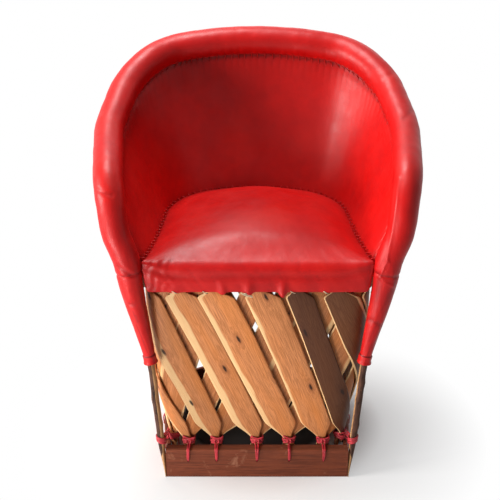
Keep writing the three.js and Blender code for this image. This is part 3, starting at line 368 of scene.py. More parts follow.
FOOT = (BOARD_HALF + SEATED + POST_RADIUS, BOARD_FACE_Y + FOOT_HALF_DEPTH)
RIM_RIGHT = [
    (FOOT[0], FOOT[1], FOOT_TOP),
    (FOOT[0] + POST_LEAN / 2, (FOOT[1] + RIM_FRONT_Y) / 2, (FOOT_TOP + CUFF_LOW) / 2),
    (FOOT[0] + POST_LEAN, RIM_FRONT_Y, CUFF_LOW),
    (APRON_HALF + 2 * SEATED + float(cuff_radius(APRON_HEM)), RIM_FRONT_Y, APRON_HEM),
    (APRON_HALF + APRON_FLARE + 2 * SEATED + ROLL_RADII[0], RIM_FRONT_Y, SEAT_EDGE),
] + [(across * RIM_HALF, lerp(RIM_FRONT_Y, RIM_BACK_Y, back), lerp(SEAT_HEIGHT, RIM_HEIGHT, rise))
     for across, back, rise in RIM_SHARES]
RIM = Path(RIM_RIGHT + [(0, RIM_BACK_Y, RIM_HEIGHT)] + [(-x, y, z) for x, y, z in RIM_RIGHT[::-1]])
SHELL_START = float(RIM.share_at(SHELL_LOW, 2))
SEAT_OUTSET = SEAT_HOOP_THICKNESS / 2 + PANEL_MIDDLE
SHELL_INSET = SEAT_HOOP_THICKNESS / 2 / SEAT_BENT.length


def rim_share_at(z, side):
    """Shares of the rim at heights of the right post (side 1) or the left one (side -1)."""
    share = RIM.share_at(z, 2)
    return share if side > 0 else 1 - share


def side_name(side):
    return "right" if side > 0 else "left"


class Shell:
    """Rulings of the back at places along the rim, from the seat hoop to the middle of the roll."""

    FINE = np.linspace(SHELL_START, 1 - SHELL_START, 801)
    FLAT = np.concatenate([[0], np.cumsum(np.linalg.norm(np.diff(RIM.at(FINE)[:, :2], axis=0), axis=1))])

    def __init__(self, shares):
        self.shares = shares
        self.high = RIM.at(shares)
        self.along = RIM.along(shares)
        walked = np.interp(shares, self.FINE, self.FLAT) / self.FLAT[-1]
        round_seat = lerp(SHELL_INSET, 1 - SHELL_INSET, walked)
        outset = np.full(len(shares), -SEAT_OUTSET)
        self.low, self.out_low = on_plan(SEAT_BENT, round_seat, outset, SEAT_HEIGHT + SEATED)
        self.out_high = unit(np.cross(self.low - self.high, self.along))
        ruling = self.low - self.high
        square = ruling - self.along * (ruling * self.along).sum(-1, keepdims=True)
        self.square = np.linalg.norm(square, axis=-1)

    def at(self, climb, offset):
        """Places at a climb (0 at the hoop, 1 at the roll's middle, below 0 straight down in mm)."""
        climb = np.broadcast_to(climb, self.shares.shape)[..., None]
        out = unit(lerp(self.out_low, self.out_high, smooth(climb / 0.5)))
        offset = np.broadcast_to(offset, self.shares.shape)[..., None]
        up = lerp(self.low, self.high, np.maximum(climb, 0)) + out * offset
        return up + np.concatenate([0 * climb, 0 * climb, np.minimum(climb, 0)], -1)

    def climb_near(self, distance):
        """The climb that ends at a distance from the roll's middle line."""
        return 1 - distance / self.square


# Meshes

def rough(points, wavelength, seed=0.0):
    """Smooth noise from -1 to 1 at each place, with a wavelength in mm."""
    flat = np.asarray(points, float).reshape(-1, 3) / wavelength + seed
    return np.array([noise.noise(Vector(p)) for p in flat]).reshape(np.asarray(points).shape[:-1])


def uneven(points, *waves):
    """A sum of waves, each with a height, a wavelength and a seed."""
    return sum(height * rough(points, wavelength, seed) for height, wavelength, seed in waves)


def add_piece(name, points, faces, material, replaced=(), marks=None, uv=None):
    """Makes a piece from points in mm, with named marks (a number at each point) and a UV per corner."""
    points = (np.asarray(points, float) + [0, CENTRE_SHIFT, 0]) * MM
    mesh = bpy.data.meshes.new(name)
    mesh.from_pydata(points.tolist(), [], [list(map(int, face)) for face in faces])
    mesh.polygons.foreach_set("use_smooth", [True] * len(mesh.polygons))
    for mark, values in (marks or {}).items():
        layer = mesh.attributes.new(mark, "FLOAT", "POINT")
        layer.data.foreach_set("value", np.ascontiguousarray(values, np.float32).ravel())
    if uv is not None:
        layer = mesh.uv_layers.new(name="UVMap")
        layer.data.foreach_set("uv", np.ascontiguousarray(uv, np.float32).ravel())
    mesh.materials.append(material)
    mesh.validate()
    piece = bpy.data.objects.new(name, mesh)
    bpy.context.scene.collection.objects.link(piece)
    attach(piece, BODY)
    if replaced:
        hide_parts(*replaced)
    return piece


def loft(rings, flip=False, looped=False):
    """Points, faces and UVs of a skin over closed rings (rows, places, 3), its ends closed by strips."""
    rows, places = rings.shape[:2]
    around = np.linalg.norm(np.diff(np.concatenate([rings, rings[:, :1]], 1), axis=1), axis=2)
    across = np.pad(around.cumsum(1), ((0, 0), (1, 0))) * MM
    climb = np.pad(np.linalg.norm(np.diff(rings.mean(1), axis=0), axis=1).cumsum(), (1, 0)) * MM
    corners = [[(r, c), (r, c + 1), ((r + 1) % rows, c + 1), ((r + 1) % rows, c)]
               for r in range(rows if looped else rows - 1) for c in range(places)]
    if not looped:
        for r, step in ((0, -1), (rows - 1, 1)):
            for c in range(places // 2 - 1):
                strip = dict.fromkeys([c, c + 1, places - 2 - c, places - 1 - c])
                corners.append([(r, i) for i in strip][::step])
    if flip:
        corners = [face[::-1] for face in corners]
    faces = [[r * places + c % places for r, c in face] for face in corners]
    return rings.reshape(-1, 3), faces, [(across[r, c], climb[r]) for face in corners for r, c in face]


def add_skin(name, rings, look, replaced, marks, flip=False):
    """Makes a piece of one skin."""
    points, faces, uv = loft(rings, flip)
    return add_piece(name, points, faces, finish(look), replaced, marks, uv)


def ring_at(place, u, v, outline):
    """Rings of outlines (rows, places, 2) in planes with axes u and v."""
    return place[:, None] + outline[..., :1] * u[:, None] + outline[..., 1:] * v[:, None]


def add_strands(name, parts, look, replaced=(), painted_shade_and_stain=None):
    """Makes one piece of several skins; painted_shade_and_stain, if given, says how dark the hide is painted
    at each point.
    """
    points, faces, uv = [], [], []
    count = 0
    for part_points, part_faces, part_uv in parts:
        points.append(part_points)
        faces += [tuple(i + count for i in face) for face in part_faces]
        uv += part_uv
        count += len(part_points)
    points = np.vstack(points)
    marks = {"painted_shade_and_stain": painted_shade_and_stain(points) * np.ones(count), "wear_and_highlight": np.zeros(count)} if painted_shade_and_stain else None
    add_piece(name, points, faces, finish(look), replaced, marks, uv)


# Materials

def linear(hex_value, share=1.0):
    """A colour for a shader from an sRGB hex value, darkened to a share."""
    parts = [int(hex_value[i:i + 2], 16) / 255 for i in (1, 3, 5)]
    parts = [c / 12.92 if c <= 0.04045 else ((c + 0.055) / 1.055) ** 2.4 for c in parts]
    return (*(share * c for c in parts), 1.0)


class Nodes:
    """Adds nodes to a tree. An input is a number, a colour, a hex value or another node's socket."""

    def __init__(self, tree):
        self.tree = tree

    def put(self, value, socket):
        if isinstance(value, bpy.types.NodeSocket):
            self.tree.links.new(value, socket)
        else:
            socket.default_value = linear(value) if isinstance(value, str) else value

    def add(self, kind, inputs=None, **settings):
        made = self.tree.nodes.new("ShaderNode" + kind)
        for key, value in settings.items():
            setattr(made, key, value)
        for key, value in (inputs or {}).items():
            self.put(value, made.inputs[key])
        return made

    def ramp(self, source, *stops):
        """A ramp over stops of (place, number)."""
        made = self.add("ValToRGB", {"Fac": source})
        elements = made.color_ramp.elements
        while len(elements) < len(stops):
            elements.new(0.5)
        for element, (place, value) in zip(elements, stops):
            element.position = place
            element.color = (value, value, value, 1)
        return made.outputs["Color"]

    def mix(self, share, a, b, blend="MIX"):
        return self.add("Mix", {0: share, 6: a, 7: b}, data_type="RGBA", blend_type=blend).outputs[2]

    def over(self, base, top, source, *stops):
        """A colour over another, as far as a ramp on a source says."""
        return self.mix(self.ramp(source, *stops), base, top)

    def math(self, operation, *values, clamp=False):
        return self.add("Math", dict(enumerate(values)), operation=operation, use_clamp=clamp).outputs[0]

    def place(self, kind="Object"):
        return self.add("TexCoord").outputs[kind]

    def scaled(self, vector, *scale):
        return self.add("Mapping", {"Scale": scale, "Vector": vector}).outputs[0]

    def noise(self, vector, wavelength, detail=3.0, roughness=0.55, distortion=0.0):
        """Noise whose coarsest waves have a real length in millimetres."""
        return self.add("TexNoise", {"Scale": 1 / (wavelength * MM), "Detail": detail, "Roughness": roughness,
                                     "Distortion": distortion, "Vector": vector}).outputs["Fac"]

    def cells(self, vector, scale, **settings):
        return self.add("TexVoronoi", {"Scale": scale, "Randomness": 1.0, "Vector": vector},
                        **settings).outputs["Distance"]

    def mark(self, name):
        return self.add("Attribute", attribute_name=name).outputs["Fac"]

    def bump(self, height, depth, strength, below=None):
        """A normal from a height, with a depth in millimetres, on top of another normal."""
        inputs = {"Height": height, "Strength": strength, "Distance": depth * MM}
        return self.add("Bump", inputs if below is None else {**inputs, "Normal": below}).outputs["Normal"]


class Finish(Nodes):
    """A material and the nodes that lead to its shader."""

    def __init__(self, name):
        self.material = bpy.data.materials.new(name)
        self.material.use_nodes = True
        super().__init__(self.material.node_tree)
        self.shader = self.tree.nodes["Principled BSDF"]

    def done(self, colour, roughness, normal=None, **others):
        """Sets the shader's inputs; wood and bark are duller than its default."""
        inputs = {"Base Color": colour, "Roughness": roughness, "Specular IOR Level": 0.25}
        inputs.update({} if normal is None else {"Normal": normal})
        inputs.update({name.replace("_", " "): value for name, value in others.items()})
        for name, value in inputs.items():
            self.put(value, self.shader.inputs[name])
        return self.material


def dyed_hide(name, lit, deep, worn, grain=1.6, depth=0.16):
    """Vegetable-tanned hide, dyed and waxed, shrunk on while wet: the eye sees a close pebble
    grain, darker blotches of dye, painted shade in the folds, creases and seams, and a soft wax
    gloss that thins where the hide is rubbed."""
    look = Finish(name)
    place = look.place()
    # Blotches of dye, a hand across, and finer clouding in them
    dye = look.over(lit, deep, look.noise(place, 95, 3, 0.6), (0.36, 0.0), (0.72, 0.5))
    dye = look.over(dye, deep, look.noise(place, 18, 4, 0.6, 0.4), (0.42, 0.0), (0.78, 0.22))
    # The worn colour is partly rubbed wear and partly a painted highlight on tops, ridges and crests
    dye = look.mix(look.math("MULTIPLY", look.mark("wear_and_highlight"), 0.4), dye, worn)
    # Painted shade: folds, creases and seams are darkened towards a deep shadow red; on thongs the same mark
    # holds random stains
    dye = look.mix(look.mark("painted_shade_and_stain"), dye, linear(deep, 0.18))
    # Grain of goat hide is about a millimetre; it is drawn a little coarser so that it shows
    normal = look.bump(look.noise(place, 14, 4, 0.62, 1.2), 0.6, 0.4)
    normal = look.bump(look.cells(place, 1 / (grain * MM), feature="SMOOTH_F1"), depth, 0.7, normal)
    normal = look.bump(look.noise(place, 0.9, 2, 0.5), depth * 0.5, 0.5, normal)
    wax = look.ramp(look.noise(place, 40, 4, 0.6), (0.3, 0.38), (0.72, 0.52))
    return look.done(dye, wax, normal, Specular_IOR_Level=0.28, Coat_Weight=0.03, Coat_Roughness=0.28)


def split_wood():
    """Slats split from the round and scraped: the eye sees straight brown grain along the slat,
    pale sapwood down an edge, small knots, and a thin coat of wax."""
    look = Finish("split_slat_wood")
    c = colours()
    seed = look.mark("seed")
    shift = look.add("CombineXYZ", {"X": seed, "Y": seed, "Z": seed}).outputs[0]
    place = look.add("VectorMath", {0: look.place("UV"), 1: shift}, operation="ADD").outputs[0]

    def stretched(across, along, *noise_settings):
        """Noise that is drawn out along the slat."""
        return look.noise(look.scaled(place, across, along, 1.0), *noise_settings)

    # Knots, one in a hand's length; the rings of growth flow round them, 3 mm apart
    ragged = look.math("MULTIPLY", stretched(1.0, 1.0, 5, 3, 0.6), 0.045)
    knots = look.cells(look.scaled(place, 1.5, 0.6, 1.0), 10.0, voronoi_dimensions="2D")
    knots = look.math("ADD", knots, ragged)
    around = look.ramp(knots, (0.03, 0.35), (0.2, 0.0))
    waves = look.math("ADD", stretched(1.0, 0.06, 7, 3, 0.6, 0.6), around)
    rings = look.math("SINE", look.math("MULTIPLY", waves, 42.0))
    rings = look.math("MULTIPLY_ADD", rings, 0.5, 0.5)
    fine = stretched(1.0, 0.03, 1.4, 3, 0.7)
    heart = look.over(c.heartwood, c.heartwood_dark, rings, (0.25, 0.0), (0.95, 0.42))
    heart = look.over(heart, c.heartwood_dark, fine, (0.42, 0.0), (0.72, 0.42))
    heart = look.over(heart, "#e0853c", stretched(1.0, 0.25, 42, 2, 0.5), (0.45, 0.0), (0.75, 0.6))
    heart = look.over(heart, "#8a4a2c", knots, (0.06, 0.5), (0.16, 0.0))
    # Painted shade on the inner slats and the front slats on the right; every slat is also darker towards its
    # foot
    heart = look.mix(look.mark("painted_shade_and_stain"), heart, "#2e0f04")
    # Sapwood follows one edge and wanders a few millimetres; the same pale colour paints a highlight on each
    # slat's left edge
    wander = look.math("MULTIPLY", stretched(0.2, 0.4, 30, 2, 0.5), 0.5)
    edge = look.math("ADD", look.mark("edge"), wander)
    pale = look.over(c.sapwood, c.heartwood, fine, (0.4, 0.0), (0.75, 0.5))
    wood = look.over(heart, pale, edge, (0.9, 0.0), (1.06, 1.0))
    wood = look.over(wood, "#241008", knots, (0.05, 0.95), (0.075, 0.0))
    # Each slat has its own tone
    chance = look.add("TexWhiteNoise", {"W": seed}, noise_dimensions="1D").outputs["Value"]
    wood = look.mix(1.0, wood, look.ramp(chance, (0.0, 0.8), (0.6, 1.0), (1.0, 1.12)), "MULTIPLY")
    normal = look.bump(fine, 0.35, 0.6, look.bump(rings, 0.25, 0.5))
    return look.done(wood, look.ramp(fine, (0.3, 0.42), (0.8, 0.62)), normal)


def sawn_wood(name, tone, worn):
    """Sawn board and bent strip, worn by feet and hands: long grain, scuffs and dents."""
    look = Finish(name)
    place = look.place()
    grain_place = look.scaled(place, 0.05, 0.4, 1.0)
    grain = look.noise(grain_place, 3.2, 5, 0.65, 0.3)
    scuffs = look.noise(place, 26, 5, 0.7, 0.5)
    dark = linear(tone, 0.4)
    wood = look.over(tone, dark, grain, (0.38, 0.0), (0.66, 0.8))
    wood = look.over(wood, dark, look.noise(grain_place, 0.8, 3, 0.7), (0.5, 0.0), (0.75, 0.5))
    wood = look.over(wood, worn, scuffs, (0.6, 0.0), (0.74, 0.55))
    # Faces that look up are rubbed and dusty
    facing = look.add("NewGeometry").outputs["Normal"]
    level = look.add("SeparateXYZ", {"Vector": facing}).outputs["Z"]
    wood = look.over(wood, worn, level, (0.75, 0.0), (0.95, 0.12))
    normal = look.bump(scuffs, 0.8, 0.3, look.bump(grain, 0.5, 0.5))
    return look.done(wood, look.ramp(scuffs, (0.35, 0.5), (0.7, 0.75)), normal)


def bark_stick():
    """A stick split down its length: dark furrowed bark outside, cream wood on the split side."""
    look = Finish("stick_with_bark")
    c = colours()
    place = look.place()
    furrows = look.noise(look.scaled(place, 1.0, 1.0, 0.16), 5, 5, 0.7, 0.6)
    flecks = look.noise(place, 9, 4, 0.7)
    grain = look.noise(look.scaled(look.place("UV"), 1.0, 0.05, 1.0), 2.0, 4, 0.6)
    bark = look.over("#1c100a", c.bark, furrows, (0.35, 0.0), (0.65, 1.0))
    bark = look.over(bark, "#7a5238", flecks, (0.6, 0.0), (0.72, 0.6))
    wood = look.over(c.stick, "#8a5a30", grain, (0.35, 0.0), (0.7, 0.7))
    barked = look.math("ADD", look.mark("bark"), look.math("MULTIPLY", flecks, 0.3))
    wood = look.over(wood, bark, barked, (0.55, 0.0), (0.68, 1.0))
    return look.done(wood, 0.75, look.bump(furrows, 1.2, 0.6))


def waxed_cord():
    """Sewing cord of twisted maguey fibre, pale and matt, with a twist every 2 mm."""
    look = Finish("waxed_cord")
    place = look.place()
    twist = look.noise(place, 2, 3, 0.6)
    cord = look.over(colours().thread, "#8c7450", twist, (0.4, 0.0), (0.7, 0.7))
    cord = look.over(cord, "#a04038", look.noise(place, 30, 2), (0.5, 0.0), (0.7, 0.4))
    return look.done(cord, 0.8, look.bump(twist, 0.3, 0.6), Specular_IOR_Level=0.5)


MATERIALS = {}


def finish(name):
    """The material of a finish, made once."""
    if name not in MATERIALS:
        c = colours()
        makers = {
            "hide": lambda: dyed_hide("red_goat_hide", c.leather, c.leather_deep, c.leather_worn_and_highlight),
            "thong": lambda: dyed_hide("cut_hide_thong", c.thong, "#7c1822", "#c85a58", 1.2, 0.1),
            "slat": split_wood,
            "board": lambda: sawn_wood("stained_sawn_wood", c.base_wood, "#a8745a"),
            "frame_slat": lambda: sawn_wood("split_lath_wood", c.heartwood, "#d09a60"),
            "frame_stick": lambda: sawn_wood("peeled_stick_wood", c.stick, "#e0c090"),
            "stick": bark_stick,
            "cord": waxed_cord,
        }
        MATERIALS[name] = makers[name]()
    return MATERIALS[name]


# Leather

def averaged(values, reach):
    """A running mean along the first axis, ends held."""
    padded = np.concatenate([values[:1].repeat(reach, 0), values, values[-1:].repeat(reach, 0)])
    total = np.cumsum(np.concatenate([0 * padded[:1], padded]), 0)
    return (total[2 * reach + 1:] - total[:-2 * reach - 1]) / (2 * reach + 1)


def rim_axes(shares):
    """Middle line of the rim, with u towards the seat and v towards the inside."""
    place, along = RIM.at(shares), RIM.along(shares)
    shell = Shell(np.clip(shares, SHELL_START, 1 - SHELL_START))
    aims = shell.low.copy()
    on_arm = (shares < SHELL_START) | (shares > 1 - SHELL_START)
    aims[on_arm, 2] = place[on_arm, 2]
    radii = roll_radius(place[:, 2])
    last = len(shares) - 1
    # Where rulings cross the plane square to the rim, the panels follow those crossings
    for k in np.nonzero(~on_arm)[0]:
        step = 1 if k < last / 2 else -1
        near, near_reach = place[k], 0.0
        j = k + step
        while 0 <= j <= last:
            below = (shell.low[j] - place[k]) @ along[k]
            above = (shell.high[j] - place[k]) @ along[k]
            if below * above >= 0:
                break
            crossing = lerp(shell.low[j], shell.high[j], below / (below - above))
            reach = np.linalg.norm(crossing - place[k])
            if reach > radii[k]:
                near = lerp(near, crossing, (radii[k] - near_reach) / (reach - near_reach))
                near_reach = radii[k]
                break
            near, near_reach = crossing, reach
            j += step
        if near_reach > 0.4 * radii[k]:
            aims[k] = near
    u = square_to(averaged(square_to(aims - place, along), 4), along)
    return place, along, u, np.cross(along, u)


# Creases that the photograph shows: a line of picture places (column, row), its depth in mm, and
# its half width in pixels
CREASES = (
    (((97, 190), (104, 193), (112, 195)), 1.6, 2.2),
    (((117, 266), (124, 271), (132, 276)), 1.8, 2.0),
    (((399, 178), (396, 210), (390, 245), (387, 261)), -1.3, 1.6),
    (((388, 260), (384, 268), (380, 277)), -1.7, 1.2),
    (((380, 277), (385, 283), (393, 286)), -1.4, 1.2),
    (((389, 262), (393, 274), (393, 286)), -1.0, 1.4),
    (((404, 118), (411, 112), (417, 108)), 1.2, 3.0),
    (((384, 78), (391, 74), (397, 70)), 1.0, 3.0),
    (((120, 300), (127, 304), (134, 305)), 1.2, 2.2),
    (((366, 318), (374, 322), (383, 326)), 1.2, 2.2),
)
EYE = np.array([-13.8, -1549.4, 960.9])     # place of the camera
EYE_TILT = math.radians(20)                 # downwards
PICTURE_FOCUS = 800.0
PICTURE_MIDDLE = 250.0


def picture_places(points):
    """Column and row of each place in the photograph's frame."""
    away = points - EYE
    depth = away[..., 1] * math.cos(EYE_TILT) - away[..., 2] * math.sin(EYE_TILT)
    rise = away[..., 1] * math.sin(EYE_TILT) + away[..., 2] * math.cos(EYE_TILT)
    return PICTURE_MIDDLE + PICTURE_FOCUS * np.stack([away[..., 0], -rise], -1) / depth[..., None]


def crease_depth(points, outwards):
    """Depth in mm of the creases at each place, where the surface faces the front."""
    spots = picture_places(points)
    facing = smooth(-(unit(points - EYE) * outwards).sum(-1), 0.0, 0.3)
    total = np.zeros(points.shape[:-1])
    for line, depth, width in CREASES:
        nearest = np.full(total.shape, 1e9)
        for start, end in zip(line, line[1:]):
            start, end = np.array(start, float), np.array(end, float)
            run = end - start
            t = np.clip(((spots - start) @ run) / (run @ run), 0, 1)
            nearest = np.minimum(nearest, np.linalg.norm(spots - start - t[..., None] * run, axis=-1))
        total += depth * bell(nearest, width)
    return total * facing


def gathers(walked, pitch):
    """0 on top of a gather and 1 in the groove between two, uneven as hand lacing is."""
    wander = np.array([noise.noise(Vector((w / 60, 3.1, 0))) for w in walked]) * pitch * 1.1
    wave = np.abs(np.sin(np.pi * (walked + wander) / pitch))
    return (1 - wave) ** 1.6


SEAM_ANGLE = math.radians(12)   # from the middle of the panels to each of their seams with the roll
SEAM_LIP = 0.16                 # radians from a seam to the fullest part of its gathers
ROLL_SIDES = 72
BEYOND_CAD = 0.8                # how far leather may stand out of the solids' box
PANEL_LEAST = 0.7               # thickness of a panel in the grooves of its gathers


def roll_skin():
    """The padded roll of the rim, from one cuff over the back to the other."""
    low = float(RIM.share_at(CUFF_TOP + SEATED - 1.0, 2))
    shares = np.linspace(low, 1 - low, 640)
    place, _, u, v = rim_axes(shares)
    walked = (shares * RIM.length)[:, None]
    tall = place[:, 2:]
    spokes = circle(ROLL_SIDES)
    turn = np.arctan2(spokes[:, 1], spokes[:, 0])
    radius = roll_radius(tall) * np.ones(ROLL_SIDES)
    outwards = spokes[:, :1] * u[:, None] + spokes[:, 1:] * v[:, None]
    places = place[:, None] + outwards * radius[..., None]
    # Gathers at both seams, and the groove that the lacing pulls
    on_shell = smooth(tall, SHELL_LOW - 4, SHELL_LOW + 30)
    groove = gathers(walked[:, 0], size("pucker_pitch"))[:, None] * np.maximum(
        bell(turn - SEAM_ANGLE - SEAM_LIP, 0.34) * (turn > 0),
        0.7 * bell(turn + SEAM_ANGLE + SEAM_LIP, 0.3) * (turn < 0))
    from_seam = np.abs(turn) - SEAM_ANGLE
    dip = 2.6 * bell(from_seam, SEAM_LIP) + 3.0 * bell(turn, 0.2)
    sunk = (size("pucker") * groove + dip) * on_shell
    hand = uneven(places, (0.8, 62, 0), (0.45, 21, 7), (0.16, 8, 13))
    drawn = 0.5 * bell(np.abs(turn) - 0.75, 0.5) * rough(
        np.stack(np.broadcast_arrays(walked / 9, turn * 2, 0 * radius), -1), 1.0, 5)
    crease = crease_depth(places, outwards)
    ends = smooth(tall, CUFF_TOP + 10, CUFF_TOP - 1)
    radius = radius + hand + drawn - sunk - crease - 2.2 * ends
    low_corner, high_corner = np.array(CAD_BOX) / MM
    points = np.clip(place[:, None] + outwards * radius[..., None],
                     low_corner - BEYOND_CAD, high_corner + BEYOND_CAD)
    # Painted shade along the laced seam, in the gathers' grooves, in the creases and where the roll goes into
    # the cuffs
    painted_shade_and_stain = np.clip((0.75 * bell(from_seam, 0.1) + 0.25 * groove) * on_shell
                   + 0.16 * np.maximum(crease, 0) + 0.6 * ends, 0, 0.9)
    # Tops of the roll are lighter: partly rubbed wear and partly a painted highlight
    top = smooth(outwards[..., 2], 0.2, 1.0) * smooth(rough(places, 70, 31), -0.2, 0.7)
    piece = add_skin("padded_roll", points, "hide", ("roll_cover", "roll_padding"),
                     {"painted_shade_and_stain": painted_shade_and_stain, "wear_and_highlight": 0.7 * top})


STAVE_SHARES = [0.2 + 0.1 * i for i in range(7)]


def panel_skin(name, side, hem, columns=560):
    """One leather panel of the back; side is -1 inside and 1 outside."""
    shares = np.linspace(SHELL_START, 1 - SHELL_START, columns)
    shell = Shell(shares)
    radius = roll_radius(shell.high[:, 2])
    seam_climb, top_climb = shell.climb_near(radius), shell.climb_near(radius - 10)
    groove = gathers(shares * RIM.length, size("pucker_pitch"))
    over_staves = sum(bell(np.linspace(0, 1, columns) - share - 0.015, 0.014) for share in STAVE_SHARES)
    over_staves = over_staves * (0.9 if side > 0 else 0.35)
    # Heights below the hoop, then climbs to under the roll, closer together there
    hanging = list(-hem * np.linspace(1, 0, 7)[:-1]) if hem else []
    rows = hanging + [share * top_climb for share in 1 - (1 - np.linspace(0, 1, 34)) ** 1.7]
    face, back, painted_seam_shades, rubs = [], [], [], []
    for number, climb in enumerate(rows):
        up = np.maximum(climb, 0)
        below_seam = (seam_climb - up) * shell.square
        near = np.exp(-np.maximum(below_seam, 0) / 16)
        middle = 4 * np.clip(up * (1 - up), 0, 0.25)
        plain = shell.at(climb, side * (PANEL_MIDDLE + LEATHER))
        wave = uneven(plain, (0.7, 80, 3), (0.35, 26, 9), (0.12, 9, 21))
        seam = size("pucker") * groove * near + 2.2 * bell(below_seam, 7)
        hemmed = 1.4 * bell(climb + hem - 3, 4) if number < len(hanging) else 0
        proud = wave * (1 - 0.5 * near) + over_staves * middle - seam + hemmed
        proud = np.maximum(proud, PANEL_LEAST - LEATHER)
        face.append(shell.at(climb, side * (PANEL_MIDDLE + LEATHER + proud)))
        back.append(shell.at(climb, side * (PANEL_MIDDLE + 0.1)))
        # Painted shade in the gathers' grooves and along the seam under the roll
        painted_seam_shades.append(np.clip(0.3 * groove * near + 0.5 * bell(below_seam, 4), 0, 0.9))
        rubs.append(0.5 * middle * smooth(rough(plain, 90, 41), 0.0, 0.7))
    rings = np.concatenate([np.stack(face, 1), np.stack(back, 1)[:, ::-1]], 1)
    painted_shade_and_stain, rub = (np.concatenate([np.stack(marks, 1), np.zeros((columns, len(rows)))], 1)
                 for marks in (painted_seam_shades, rubs))
    add_skin(name, rings, "hide", (("inner" if side < 0 else "outer") + "_back_panel",),
             {"painted_shade_and_stain": painted_shade_and_stain, "wear_and_highlight": rub}, flip=side > 0)


def upright_axes(z, side):
    """Axes of a post or cuff at heights: u towards the seat and v across."""
    share = rim_share_at(z, side)
    place, along = RIM.at(share), RIM.along(share)
    shell = Shell(np.array([SHELL_START if side > 0 else 1 - SHELL_START]))
    aim = np.broadcast_to(shell.low, place.shape).copy()
    aim[:, 2] = z
    u = square_to(aim - place, along)
    return place, along, u, np.cross(along, u)


CUFF_SIDES = 44


def cuff_skin(side):
    """Leather sleeve of a post, sewn shut down the side towards the seat, with a turned-up band."""
    name = "cuff_" + side_name(side)
    band_top = CUFF_LOW + CUFF_BAND
    heights = np.concatenate([np.linspace(CUFF_LOW, band_top - 0.4, 14),
                              np.linspace(band_top + 0.4, CUFF_TOP + 3, 90)])
    place, _, u, v = upright_axes(heights, side)
    tall = heights[:, None]
    band = tall < band_top
    gape = 0.9 + 1.5 * smooth(heights, 330, 420)
    outlines = []
    for radius, gap in zip(cuff_radius(heights), gape):
        arcs = []
        for reach, step in ((radius, 1), (radius - LEATHER, -1)):
            lip = math.asin(min(gap / reach, 0.9))
            arc = np.linspace(lip, 2 * math.pi - lip, CUFF_SIDES)[::step]
            arcs.append(np.stack([reach * np.cos(arc), reach * np.sin(arc)], -1))
        outlines.append(np.concatenate(arcs))
    outlines = np.array(outlines)
    rings = ring_at(place, u, v, outlines)
    outwards = unit(rings - place[:, None])
    outer = np.arange(2 * CUFF_SIDES) < CUFF_SIDES
    turn = np.arctan2(outlines[..., 1], outlines[..., 0])
    furrow = rough(np.stack(np.broadcast_arrays(turn * 2.4, tall / 75, side + 0 * turn), -1), 1.0, 3)
    lip_curl = 1.3 * bell(turn, 0.3) * ~band
    hand = uneven(rings, (0.35, 30, 3), (0.15, 7, 5)) + 0.7 * furrow * smooth(tall, 430, 330)
    flare = (1.5 + 0.7 * rough(rings, 12, 17) + 1.2 * smooth(tall, CUFF_LOW + 7, CUFF_LOW)) * band
    crease = crease_depth(rings, outwards)
    into_roll = 1.5 * smooth(tall, CUFF_TOP - 3, CUFF_TOP + 3)
    shift = (hand + flare + lip_curl - crease - into_roll) * outer
    rings = rings + outwards * shift[..., None]
    # Painted shade in the creases, under the turned-up band, along the gap of the seam and in the furrows
    painted_shade_and_stain = (0.25 * np.maximum(crease, 0) + 0.7 * bell(tall - band_top, 1.2)
            + 0.5 * bell(turn, 0.12) + 0.25 * (furrow < -0.25))
    # The furrows' ridges are lighter, partly rubbed wear and partly a painted highlight
    add_skin(name, rings, "hide", (name,),
             {"painted_shade_and_stain": np.clip(painted_shade_and_stain, 0, 0.9) * outer, "wear_and_highlight": 0.5 * (furrow > 0.2) * outer})


# Cushion

MAT_TOP = SEAT_HEIGHT + SEATED + 4.0
UNDERSIDE = MAT_TOP + 0.8
CROWN_Y = 15.0
EDGE_HEIGHTS = (27.0, 57.0)     # over the seat, at the front and at the back
EDGE_RADIUS = 8.0
FRONT_RADIUS = 24.0
CORNER_COLUMNS = 10
PLAN_COLUMNS = 200              # round the back
FRONT_COLUMNS = 120
SIDE_SLOPE_MOST = 0.45          # how fast the cushion's side may lean out with the back
# Lumps where the apron's hem is pulled over the lacing: share of the half width, depth and half width
HEM_LUMPS = ((-0.31, 5.5, 0.033), (-0.08, 7.4, 0.034), (0.22, 10.0, 0.03),
             (0.62, 1.8, 0.05), (-0.72, 2.6, 0.05))


